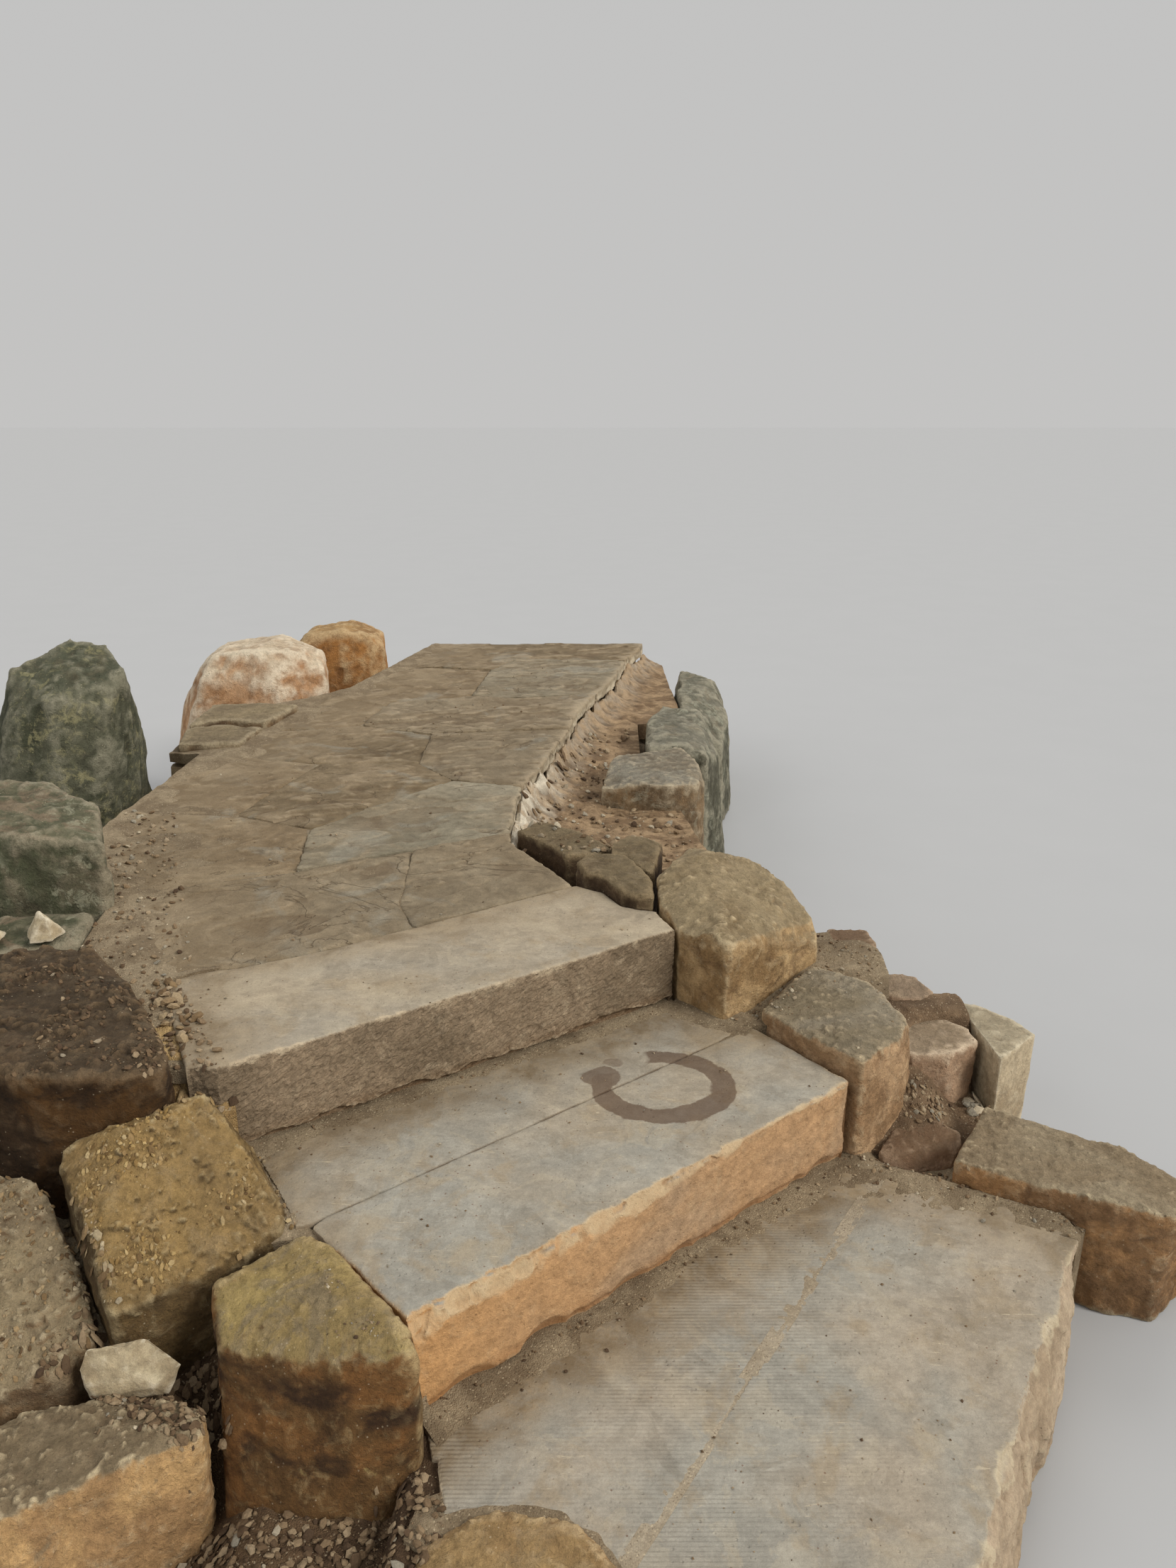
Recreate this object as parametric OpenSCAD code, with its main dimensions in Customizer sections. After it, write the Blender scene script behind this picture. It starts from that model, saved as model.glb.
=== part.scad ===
// Outdoor stone steps: three sandstone steps that turn to the right as they
// climb, a flagged landing behind them, and the rough stones that hold both
// sides. Millimetres. +X is to the right of someone walking up, +Y runs away
// along the landing, +Z is up. The origin is on the lower ground, under the
// middle of the whole plan.

/* [Steps] */
// Height of the first step above the lower ground
first_rise = 200; // [170:5:220]
// Height of each of the two steps above it
rise = 190; // [160:5:210]
// How far the first step's front edge stands out, square to the edge
step_1_out = 0; // [-20:5:20]

/* [Landing] */
// Thickness of a landing flag
flag_t = 50; // [40:5:60]
// Width of the joints between flags
joint = 8; // [4:1:12]
// How far the mortar bed stands back from the flags' outer edges
bed_in = 20; // [10:2:40]

/* [Side stones] */
// Height added to or taken from every stone on the left side
left_up = 0; // [-20:5:30]
// Height added to or taken from every stone on the right side
right_up = 0; // [-20:5:30]
// Height of the rubble ledge that runs along the landing's right side
ledge_h = 450; // [400:10:470]

/* [Hidden] */
// top of the first tread, the second tread and the landing
T1 = first_rise;
T2 = first_rise + rise;
T3 = first_rise + 2 * rise;
// plan position of the origin, measured where the plan points are measured
ox = -400;
oy = 3170;
// gap kept between two faces that stand against each other in the beds
gap = 3;

stone_tan = "#b49a70";
stone_grey = "#aaa08a";
stone_orange = "#b98a50";
stone_brown = "#7d6144";
stone_moss = "#76775f";
mortar = "#b8ae98";

// ---------- shared shapes ----------

// puts plan points on the part's own origin
module place() { translate([-ox, -oy, 0]) children(); }

// a sawn or built mass with a flat top: outline, underside, top
module slab(outline, z0, z1) {
    place() translate([0, 0, z0]) linear_extrude(height = z1 - z0) polygon(outline);
}

// a rough stone: the closed skin round its own corners
module stone(pts) {
    n = len(pts);
    place() hull() polyhedron(points = pts,
        faces = [for (i = [0:n - 3]) [i, i + 1, i + 2]]);
}

// corner lists: plan points given one height, and points lifted by an amount
function at(z, pl) = [for (p = pl) [p[0], p[1], z]];
function lift(dz, pl) = [for (p = pl) [p[0], p[1], p[2] + dz]];

// middle of an outline, and an outline drawn in towards it by about d
function mid(pl) = [for (k = [0:1]) (max([for (p = pl) p[k]]) + min([for (p = pl) p[k]])) / 2];
function drawn_in(pl, d) = let (c = mid(pl))
    [for (p = pl) let (v = p - c, L = norm(v)) c + v * max(0, L - d) / L];

module flag(pl, dz = 0) {
    slab(drawn_in(pl, joint * 0.6), T3 - flag_t, T3 + dz);
}

// ---------- plan of the landing ----------
// right edge of the flags, from the front to the back
right_edge = [[-50, 2610], [-80, 2675], [-210, 2870], [-200, 3330], [-160, 3475],
    [-105, 3775], [-60, 3980], [-35, 4200], [40, 4495], [115, 4730],
    [175, 5095], [255, 5330], [275, 5450]];
// left edge of the flags, from the front to the back
left_edge = [[-890, 2110], [-1000, 2250], [-1080, 2450], [-1180, 2650],
    [-1290, 2800], [-1330, 3100], [-1325, 3365], [-1180, 3650], [-1145, 3935],
    [-1060, 4355], [-960, 4540], [-840, 4985], [-725, 5450]];
// back edge of the top step's block, from left to right
block_back = [[-890, 2110], [-730, 2150], [-560, 2235], [-400, 2340], [-30, 2572]];
// points where joints between flags meet
j1 = [-450, 2470];
j2 = [-742, 2662];
j3 = [-466, 2805];
j4 = [-212, 2945];
j5 = [-778, 2968];
j6 = [-1010, 2570];
j7 = [-1020, 3080];
j8 = [-425, 3380];
j9 = [-560, 3560];
j10 = [-880, 3560];
j11 = [-560, 3900];
j12 = [-830, 4020];
j13 = [-470, 4450];
j14 = [-780, 4330];
j15 = [-270, 4405];
j16 = [-430, 4900];
j17 = [-330, 5110];

// ---------- steps ----------

module step_1_front_block() {
    o = step_1_out;
    color(stone_grey) slab([[950 + o, 1788 - o / 2], [400 + o, 890 - o / 2],
        [52, 1108], [614, 1958], [640, 1978], [770, 1912], [890, 1857],
        [930, 1843]], 0, T1);
}

module step_1_back_block() {
    color(stone_grey) slab([[607, 1962], [44, 1118], [32, 1150], [3, 1182],
        [-46, 1206], [-110, 1218], [-165, 1211], [-212, 1190], [-232, 1300],
        [-250, 1360], [-262, 1385], [520, 2045], [556, 2000], [590, 1990]], 0, T1);
}

module step_2_front_block() {
    color(stone_grey) slab([[-268, 1363], [542, 2014], [372, 2226],
        [-452, 1603], [-468, 1580], [-418, 1525]], T1, T2);
}

module step_2_back_block() {
    color(stone_grey) slab([[-456, 1608], [-478, 1588], [-503, 1582],
        [-513, 1614], [-562, 1694], [-606, 1762], [-652, 1815], [-640, 1905],
        [140, 2415], [166, 2420], [208, 2326], [298, 2236], [364, 2230]], T1, T2);
}

module step_3_block() {
    color(stone_tan) slab([[-670, 1765], [199, 2327], [162, 2424],
        [118, 2434], [77, 2458], [34, 2534], for (i = [len(block_back) - 1:-1:0]) block_back[i],
        [-725, 1772]], T2, T3);
}

// packed rubble and mortar that carries the second step
module step_2_bed() {
    color(mortar) slab([[-265, 1389], [517, 2049], [374, 2222], [296, 2232],
        [206, 2322], [164, 2416], [138, 2413], [-640, 1904], [-652, 1813],
        [-562, 1692], [-510, 1612], [-500, 1585], [-466, 1580],
        [-412, 1522]], 0, T1);
}

// packed rubble and mortar that carries the top step
module step_3_bed() {
    color(mortar) slab([[-643, 1909], [-660, 1815], [-700, 1790], [-722, 1800],
        [-885, 2106], [-730, 2146], [-560, 2231], [-400, 2336], [-32, 2566],
        [31, 2530], [74, 2453], [116, 2430], [150, 2424], [138, 2416]], 0, T2);
}

// ---------- landing ----------

// mortar and rubble mass under the flags
module landing_bed() {
    r = [for (p = right_edge) p - [bed_in, 0]];
    l = [for (i = [1:len(left_edge) - 1]) left_edge[i] + [bed_in, 0]];
    color(mortar) slab([[-868, 2119], [-730, 2153], [-560, 2238], [-402, 2343],
        [-70, 2550], for (p = r) p,
        for (i = [len(l) - 1:-1:8]) l[i],
        [-1440, 4230], [-1440, 3700], [-1300, 3660], l[5],
        [-1345, 3100], [-1345, 2865], [-1225, 2680], [-1112, 2430],
        [-1098, 2242], [-1044, 2166], [-933, 2070], [-768, 1797],
        [-739, 1790], [-898, 2116]], 0, T3 - flag_t);
}

// lower mass of rubble in mortar along the landing's right side
module rubble_ledge() {
    l = [for (p = right_edge) p + [gap - bed_in, 0]];
    color(mortar) slab([[-22, 2578], [38, 2542], [80, 2466], [120, 2441],
        [158, 2438], [158, 2560], [222, 2770], [452, 2792], [410, 2890],
        [370, 3000], [340, 3140], [300, 3390], [30, 3450], [45, 3730],
        [180, 3800], [190, 4420], [380, 4450], [362, 5440], [l[len(l) - 1][0], 5440],
        for (i = [len(l) - 2:-1:0]) l[i]], 0, ledge_h);
}

module landing_flag_01() {
    color(stone_tan) flag([[-400, 2346], [-34, 2578], [-50, 2610], [-80, 2675],
        [-210, 2870], j4, j3, j1]);
}
module landing_flag_02() {
    color(stone_tan) flag([[-890, 2116], [-730, 2156], [-560, 2241],
        [-400, 2346], j1, j3, j2, j6, [-1080, 2450], [-1000, 2250]], -3);
}
module landing_flag_03() {
    color(stone_tan) flag([[-1080, 2450], j6, j2, j5, j7, [-1330, 3100],
        [-1290, 2800], [-1180, 2650]], -5);
}
module landing_flag_04() {
    color(stone_grey) flag([j2, j3, j4, [-200, 3330], j8, j5], 0);
}
module landing_flag_05() {
    color(stone_tan) flag([j7, j5, j8, j9, j10], -2);
}
module landing_flag_06() {
    color(stone_tan) flag([[-1330, 3100], j7, j10, [-1180, 3650], [-1325, 3365]], -4);
}
module landing_flag_07() {
    color(stone_tan) flag([j8, [-200, 3330], [-160, 3475], [-105, 3775],
        [-60, 3980], j11, j9], -1);
}
module landing_flag_08() {
    color(stone_grey) flag([j10, j9, j11, j12, [-1145, 3935], [-1180, 3650]], -3);
}
module landing_flag_09() {
    color(stone_tan) flag([j11, [-60, 3980], [-35, 4200], [40, 4495], j15, j13, j14, j12], 0);
}
module landing_flag_10() {
    color(stone_tan) flag([j12, j14, j13, j16, [-840, 4985], [-960, 4540],
        [-1060, 4355], [-1145, 3935]], -4);
}
module landing_flag_11() {
    color(stone_tan) flag([j15, [40, 4495], [115, 4730], [175, 5095], j17, j16, j13], -2);
}
module landing_flag_12() {
    color(stone_grey) flag([j16, j17, [175, 5095], [255, 5330], [275, 5450],
        [-725, 5450], [-840, 4985]], -1);
}

// ---------- left side ----------

module left_boulder_by_step_2() {
    color(stone_orange) stone(concat(lift(left_up, [[-265, 1322, 375],
        [-284, 1350, 390], [-427, 1516, 393], [-475, 1535, 398],
        [-592, 1462, 370], [-560, 1372, 345], [-468, 1338, 352],
        [-330, 1316, 362]]),
        at(0, [[-262, 1298], [-285, 1348], [-430, 1502], [-590, 1450],
        [-562, 1340], [-545, 1275], [-480, 1235], [-330, 1232]])));
}

module left_boulder_by_step_3() {
    color(stone_orange) stone(concat(lift(left_up, [[-890, 1652, 500],
        [-902, 1630, 480], [-843, 1560, 440], [-783, 1474, 400],
        [-750, 1426, 355], [-800, 1655, 528], [-728, 1695, 535],
        [-694, 1746, 530], [-655, 1722, 502], [-676, 1748, 420], [-625, 1748, 410],
        [-578, 1684, 400], [-530, 1612, 388], [-524, 1574, 385],
        [-578, 1526, 368], [-638, 1490, 335], [-707, 1447, 295]]),
        at(0, [[-880, 1648], [-845, 1570], [-770, 1455], [-715, 1450],
        [-640, 1492], [-535, 1580], [-540, 1610], [-632, 1742],
        [-690, 1735]])));
}

module left_boulder_by_landing() {
    color(stone_brown) stone(concat(lift(left_up, [[-758, 1722, 600],
        [-760, 1775, 602], [-936, 2050, 600], [-1056, 2150, 618],
        [-1148, 2142, 628], [-1212, 2086, 640], [-1300, 1900, 650],
        [-1240, 1720, 630], [-1010, 1688, 622], [-960, 1672, 620],
        [-877, 1680, 618], [-800, 1694, 612]]),
        at(0, [[-775, 1735], [-950, 2040], [-1055, 2138], [-1190, 2110],
        [-1290, 1930], [-1230, 1730], [-960, 1690]])));
}

module left_mossy_boulder_front() {
    color(stone_moss) stone(concat(lift(left_up, [[-1122, 2432, 745],
        [-1300, 2420, 768], [-1550, 2450, 775], [-1200, 2612, 778],
        [-1350, 2710, 800], [-1550, 2740, 800], [-1700, 2620, 760],
        [-1790, 2600, 560]]),
        at(0, [[-1122, 2420], [-1600, 2380], [-1850, 2480], [-1870, 2760],
        [-1640, 2930], [-1360, 2850], [-1250, 2665]])));
}

module left_mossy_boulder_back() {
    color(stone_moss) stone(concat(lift(left_up, [[-1474, 3525, 900],
        [-1560, 3620, 965], [-1680, 3620, 980], [-1830, 3520, 900],
        [-1500, 3430, 800], [-1640, 3365, 840], [-1800, 3405, 790],
        [-1545, 3470, 690], [-1940, 3480, 620], [-1540, 3770, 600]]),
        at(0, [[-1560, 3340], [-1640, 3230], [-1900, 3230], [-2000, 3400],
        [-1980, 3720], [-1760, 3900], [-1560, 3860], [-1530, 3600]])));
}

module left_corner_boulder() {
    color(stone_tan) stone(concat(lift(left_up, [[-590, 1300, 245],
        [-597, 1332, 240], [-640, 1352, 245], [-735, 1360, 250],
        [-835, 1338, 250], [-980, 1270, 240], [-1050, 1140, 215],
        [-935, 1090, 235], [-817, 1157, 250], [-715, 1220, 252],
        [-635, 1287, 252]]),
        at(0, [[-585, 1268], [-615, 1235], [-800, 1100], [-950, 1025],
        [-1080, 1120], [-1000, 1285], [-740, 1358], [-592, 1330]])));
}

module left_flat_boulder() {
    color(stone_brown) stone(concat(lift(left_up, [[-885, 1568, 375],
        [-932, 1620, 420], [-970, 1640, 448], [-1050, 1650, 445],
        [-1300, 1620, 415], [-1360, 1500, 355], [-1280, 1385, 295],
        [-1100, 1345, 268], [-906, 1350, 265], [-842, 1382, 275],
        [-792, 1432, 295], [-828, 1492, 330]]),
        at(0, [[-890, 1560], [-960, 1640], [-1290, 1635], [-1380, 1500],
        [-1290, 1370], [-1100, 1325], [-915, 1345], [-815, 1420],
        [-835, 1480]])));
}

module left_base_stone() {
    color(stone_moss) stone(concat(lift(left_up, [[-1118, 2235, 592],
        [-1140, 2368, 600], [-1480, 2350, 605], [-1500, 2210, 590],
        [-1260, 2172, 588]]),
        at(0, [[-1110, 2230], [-1130, 2372], [-1490, 2355], [-1510, 2200],
        [-1262, 2162]])));
}

module left_pale_boulder() {
    color(stone_tan) stone(concat(lift(left_up, [[-1560, 4430, 640],
        [-1520, 4500, 735], [-1340, 4480, 755], [-1190, 4520, 745],
        [-1080, 4560, 650], [-1110, 4700, 700], [-1300, 4780, 760],
        [-1520, 4760, 730], [-1240, 4410, 660], [-1680, 4600, 520]]),
        at(0, [[-1740, 4400], [-1500, 4290], [-1200, 4320], [-1092, 4530],
        [-1098, 4740], [-1300, 4880], [-1680, 4860]])));
}

module left_orange_boulder() {
    color(stone_orange) stone(concat(lift(left_up, [[-1300, 4960, 650],
        [-1260, 5010, 715], [-1100, 4980, 735], [-975, 5010, 700],
        [-925, 5060, 640], [-950, 5220, 690], [-1100, 5280, 725],
        [-1290, 5260, 690], [-1430, 5120, 500]]),
        at(0, [[-1480, 4980], [-1160, 4920], [-960, 4960], [-915, 5080],
        [-930, 5310], [-1180, 5430], [-1460, 5360]])));
}

module left_edge_flats() {
    color(stone_tan) slab([[-1200, 3720], [-1400, 3710], [-1435, 3900],
        [-1340, 3960], [-1172, 3925]], T3 - flag_t, T3 + 15);
    color(stone_tan) slab([[-1166, 3955], [-1330, 3985], [-1435, 3935],
        [-1430, 4200], [-1250, 4225], [-1105, 4200]], T3 - flag_t, T3 + 25);
}

module left_small_stones() {
    // pale broken stone that leans in front of the second boulder
    color("#cfc4a6") stone(lift(left_up, [[-788, 1393, 312],
        [-700, 1412, 318], [-642, 1400, 275], [-690, 1376, 250],
        [-775, 1371, 240], [-800, 1384, 280], [-786, 1378, 228],
        [-664, 1384, 228], [-684, 1408, 228], [-772, 1406, 228]]));
    color("#b8b3a0") stone(lift(left_up, [[-1160, 2215, 607], [-1205, 2200, 607],
        [-1230, 2245, 607], [-1150, 2260, 607], [-1175, 2225, 660],
        [-1195, 2240, 668]]));
    color("#cfc9b6") stone(lift(left_up, [[-1270, 2200, 607], [-1370, 2205, 607],
        [-1380, 2260, 607], [-1280, 2255, 607], [-1300, 2215, 640],
        [-1360, 2235, 645]]));
}

// Gravel and broken stone packed between the left stones, in two masses:
// one among the second step's boulders, and a lower one before them.
module left_fill() {
    color(mortar) slab([[-553, 1270], [-568, 1340], [-597, 1448], [-601, 1466],
        [-640, 1483], [-712, 1440], [-757, 1429], [-800, 1405], [-862, 1360],
        [-836, 1346], [-736, 1367], [-641, 1359], [-587, 1339], [-579, 1266]],
        0, 225 + left_up);
    color(mortar) slab([[-580, 1258], [-549, 1262], [-482, 1228], [-328, 1225],
        [-258, 1290], [-238, 1297], [-218, 1193], [-233, 1169], [-278, 1104],
        [-300, 1070], [-430, 1060], [-560, 1130], [-607, 1231]], 0, 130);
}

module front_low_stone() {
    color(stone_orange) stone(concat([[-222, 1155, 195], [-168, 1188, 203],
        [-110, 1197, 206], [-50, 1184, 205], [-12, 1172, 203],
        [10, 1148, 200], [36, 1120, 196], [40, 1070, 170], [-50, 1010, 165],
        [-195, 1030, 165], [-255, 1095, 175]],
        at(0, [[40, 1050], [-60, 985], [-215, 1005], [-270, 1100],
        [-225, 1165], [-110, 1190], [20, 1130]])));
}

// ---------- right side ----------

module right_corner_boulder() {
    color(stone_tan) stone(concat(lift(right_up, [[209, 2336, 568],
        [309, 2240, 585], [174, 2434, 590], [168, 2540, 610],
        [212, 2580, 636], [300, 2620, 644], [390, 2620, 622],
        [480, 2570, 580], [542, 2500, 525], [550, 2460, 480],
        [450, 2755, 560], [270, 2752, 598]]),
        at(0, [[215, 2340], [306, 2250], [546, 2476], [572, 2590],
        [465, 2778], [232, 2758], [170, 2560]])));
}

module right_curb_boulder() {
    color(stone_tan) stone(concat(lift(right_up, [[565, 2015, 436],
        [462, 2130, 422], [394, 2238, 420], [532, 2402, 438],
        [618, 2345, 442], [662, 2308, 440], [698, 2175, 428],
        [660, 2110, 430]]),
        at(0, [[568, 2014], [402, 2240], [536, 2398], [625, 2370],
        [680, 2335], [748, 2240], [700, 2150]])));
}

module right_wedge_stone() {
    color("#b08a6c") stone(concat(lift(right_up, [[718, 2206, 330],
        [807, 2202, 332], [890, 2258, 330], [884, 2308, 334],
        [822, 2365, 338], [748, 2345, 336], [714, 2255, 333]]),
        at(0, [[826, 2242], [850, 2234], [882, 2275], [876, 2322],
        [800, 2345]])));
}

module right_square_stone() {
    color("#b3a585") stone(concat(lift(right_up, [[920, 2190, 328],
        [1031, 2288, 330], [1004, 2352, 332], [932, 2415, 335],
        [894, 2428, 335], [908, 2330, 333]]),
        at(0, [[922, 2196], [1028, 2290], [1002, 2356], [930, 2420],
        [896, 2425], [912, 2320]])));
}

module right_small_stones() {
    // pinkish stone, then the dark block beside the landing
    color("#ae8a6e") stone(concat(lift(right_up, [[702, 2420, 372],
        [728, 2396, 366], [798, 2392, 362], [832, 2418, 366],
        [798, 2472, 380], [716, 2498, 382]]),
        at(0, [[706, 2425], [730, 2402], [800, 2398], [836, 2425],
        [800, 2482], [714, 2505]])));
    color(stone_brown) stone(concat(lift(right_up, [[612, 2560, 392],
        [712, 2552, 398], [733, 2600, 402], [728, 2688, 400],
        [632, 2696, 398], [608, 2640, 396]]),
        at(0, [[614, 2556], [714, 2548], [738, 2600], [730, 2695],
        [630, 2702], [608, 2640]])));
    // low dark stone at the end of the first tread
    color(stone_brown) stone(concat(lift(right_up, [[624, 2034, 200],
        [668, 2096, 212], [766, 2116, 218], [808, 2080, 215],
        [800, 2050, 205], [770, 2028, 175], [690, 2014, 165],
        [630, 2024, 168]]),
        at(0, [[634, 2020], [690, 2010], [770, 2024], [800, 2050],
        [810, 2085], [766, 2120], [680, 2098]])));
}

module right_long_slab() {
    color(stone_orange) stone(concat(lift(right_up, [[752, 1945, 240],
        [826, 1908, 246], [905, 1875, 250], [962, 1840, 252],
        [1010, 1802, 254], [1085, 1776, 252], [1118, 1770, 248],
        [1195, 1835, 235], [1180, 1895, 244], [1102, 1976, 250],
        [1018, 2020, 252], [945, 2078, 250], [872, 2120, 246],
        [810, 2035, 244]]),
        at(0, [[768, 1935], [895, 1872], [968, 1830], [1010, 1800],
        [1105, 1768], [1200, 1840], [1185, 1900], [1100, 1985],
        [945, 2085], [868, 2128], [815, 2040]])));
}

// rubble and mortar packed between the corner and curb boulders
module right_fill() {
    color(mortar) slab([[328, 2246], [396, 2247], [532, 2405], [628, 2377],
        [684, 2345], [698, 2412], [704, 2508], [690, 2542], [608, 2550],
        [600, 2585], [582, 2585], [566, 2466]], 0, T2 - 5);
}

// ---------- along the landing's right side ----------

module ledge_slabs() {
    // thin slab against the flags, brown slab behind the top step, flat stone
    // between them and the corner boulder
    color(stone_tan) slab([[-194, 2935], [-134, 3006], [-40, 2945], [42, 2846],
        [60, 2800], [18, 2768], [-55, 2762], [-104, 2835], [-155, 2890]],
        ledge_h, T3);
    color(stone_brown) slab([[152, 2440], [120, 2444], [84, 2470], [42, 2546],
        [-6, 2582], [-28, 2650], [12, 2706], [92, 2698], [130, 2610],
        [154, 2540]], ledge_h, T3 + 30);
    color(stone_brown) slab([[60, 2724], [66, 2786], [106, 2847], [153, 2836],
        [196, 2790], [178, 2690], [160, 2600], [138, 2618], [100, 2706]],
        ledge_h, T3 + 20);
}

module ledge_boulder_front() {
    color(stone_tan) stone(concat(lift(right_up, [[45, 3470, 520],
        [160, 3440, 545], [262, 3412, 550], [350, 3470, 535],
        [386, 3560, 505], [374, 3660, 545], [328, 3838, 550],
        [88, 3730, 545], [250, 3405, 420]]),
        at(0, [[52, 3470], [255, 3410], [395, 3560], [375, 3770],
        [324, 3830], [200, 3790], [70, 3720]])));
}

module ledge_boulder_middle() {
    color(stone_moss) stone(concat(lift(right_up, [[215, 3880, 530],
        [330, 3890, 535], [420, 3860, 500], [490, 4040, 450],
        [505, 4060, 330], [440, 4330, 545], [300, 4380, 550],
        [230, 4200, 545]]),
        at(0, [[200, 3845], [340, 3872], [430, 3830], [520, 4020],
        [530, 4260], [420, 4420], [220, 4400]])));
}

module ledge_boulder_back() {
    color(stone_grey) stone(concat(lift(right_up, [[400, 4540, 460],
        [560, 4560, 320], [604, 4770, 400], [550, 5010, 500],
        [430, 5200, 500], [395, 4800, 490], [600, 5200, 440]]),
        at(0, [[395, 4490], [560, 4490], [640, 4760], [650, 5200],
        [540, 5380], [385, 5360]])));
}

// ---------- everything in place ----------
step_1_front_block();
step_1_back_block();
step_2_front_block();
step_2_back_block();
step_3_block();
step_2_bed();
step_3_bed();
landing_bed();
rubble_ledge();
landing_flag_01();
landing_flag_02();
landing_flag_03();
landing_flag_04();
landing_flag_05();
landing_flag_06();
landing_flag_07();
landing_flag_08();
landing_flag_09();
landing_flag_10();
landing_flag_11();
landing_flag_12();
left_boulder_by_step_2();
left_boulder_by_step_3();
left_boulder_by_landing();
left_mossy_boulder_front();
left_mossy_boulder_back();
left_corner_boulder();
left_flat_boulder();
left_base_stone();
left_pale_boulder();
left_orange_boulder();
left_edge_flats();
left_small_stones();
left_fill();
front_low_stone();
right_corner_boulder();
right_curb_boulder();
right_wedge_stone();
right_square_stone();
right_small_stones();
right_fill();
right_long_slab();
ledge_slabs();
ledge_boulder_front();
ledge_boulder_middle();
ledge_boulder_back();
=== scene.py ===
# Outdoor stone steps: the looks. Every stone is rebuilt around its own solid in
# the frame, with split faces, chipped arrises, pits and worn edges in the mesh,
# and a procedural stone finish. Metres, in the frame's own axes.
import bpy
import bmesh
import math
import numpy as np
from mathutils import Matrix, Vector
from mathutils.bvhtree import BVHTree


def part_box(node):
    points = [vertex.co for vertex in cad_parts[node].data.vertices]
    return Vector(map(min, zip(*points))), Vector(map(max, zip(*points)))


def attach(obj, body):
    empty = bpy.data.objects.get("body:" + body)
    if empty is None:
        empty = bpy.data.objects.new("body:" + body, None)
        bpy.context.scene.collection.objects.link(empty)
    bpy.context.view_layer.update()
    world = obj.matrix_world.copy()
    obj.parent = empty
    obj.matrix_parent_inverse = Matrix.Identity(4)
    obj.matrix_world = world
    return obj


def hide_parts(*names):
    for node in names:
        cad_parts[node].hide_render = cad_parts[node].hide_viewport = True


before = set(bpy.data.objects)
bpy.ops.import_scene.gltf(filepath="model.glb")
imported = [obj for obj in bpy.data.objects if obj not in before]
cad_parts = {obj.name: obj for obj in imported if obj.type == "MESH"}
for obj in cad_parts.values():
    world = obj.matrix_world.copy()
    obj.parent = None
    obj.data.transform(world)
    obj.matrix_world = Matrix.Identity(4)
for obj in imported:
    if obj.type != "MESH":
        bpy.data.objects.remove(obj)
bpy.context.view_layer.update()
COARSE = 1.0
SHIFT = np.array([0.400, -3.170, 0.0])      # plan points are measured from below the camera


def at(x, d, z=0.0):
    """Plan point in mm (to the right, away, up) as a point of the frame."""
    return np.array([x / 1000.0, d / 1000.0, z / 1000.0]) + SHIFT


# ------------------------------------------------------------------ camera
cam_data = bpy.data.cameras.new("camera")
cam = bpy.data.objects.new("camera", cam_data)
bpy.context.scene.collection.objects.link(cam)
cam_data.lens = 26.04
cam_data.sensor_width = 36.0
cam_data.clip_start, cam_data.clip_end = 0.05, 200
cam.location = (0.400, -3.170, 1.730)
cam.rotation_euler = (math.radians(71.0), 0, 0)
bpy.context.scene.camera = cam


# ------------------------------------------------------------------ noise
_gr = np.random.default_rng(11)
GRAD = _gr.normal(size=(256, 3))
GRAD /= np.linalg.norm(GRAD, axis=1)[:, None]
JIT = _gr.random(size=(4096, 4))
U = np.uint64


def _hash(i, seed):
    i = i.astype(np.int64).astype(np.uint64)
    h = (i[:, 0] * U(0x8DA6B343) + i[:, 1] * U(0xD8163841) + i[:, 2] * U(0xCB1AB31F)
         + U(seed * 7919 + 17) * U(0x9E3779B1)) & U(0xFFFFFFFF)
    h ^= h >> U(13)
    h = (h * U(0x5BD1E995)) & U(0xFFFFFFFF)
    h ^= h >> U(15)
    h = (h * U(0x27D4EB2F)) & U(0xFFFFFFFF)
    return h ^ (h >> U(16))


def perlin(p, seed=0):
    i = np.floor(p)
    f = p - i
    u = f * f * f * (f * (f * 6 - 15) + 10)
    out = np.zeros(len(p))
    for dx in (0, 1):
        wx = u[:, 0] if dx else 1 - u[:, 0]
        for dy in (0, 1):
            wy = u[:, 1] if dy else 1 - u[:, 1]
            for dz in (0, 1):
                wz = u[:, 2] if dz else 1 - u[:, 2]
                o = np.array([dx, dy, dz])
                g = GRAD[(_hash(i + o, seed) & U(255)).astype(np.int64)]
                out += wx * wy * wz * ((f - o) * g).sum(1)
    return out * 1.7


def fbm(p, octaves=4, seed=0, gain=0.5, lac=2.03):
    out, a, tot = np.zeros(len(p)), 1.0, 0.0
    q = np.array(p, float)
    for k in range(octaves):
        out += a * perlin(q + 13.7 * k, seed + k * 31)
        tot += a
        a *= gain
        q = q * lac
    return out / tot


def ridged(p, octaves=3, seed=0, gain=0.5):
    out, a, tot = np.zeros(len(p)), 1.0, 0.0
    q = np.array(p, float)
    for k in range(octaves):
        out += a * (1 - np.abs(perlin(q + 5.1 * k, seed + k * 17)) * 1.6)
        tot += a
        a *= gain
        q = q * 2.07
    return out / tot


NEAR = [np.array([a, b, c]) for a in (-1, 0, 1) for b in (-1, 0, 1) for c in (-1, 0, 1)]


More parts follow.
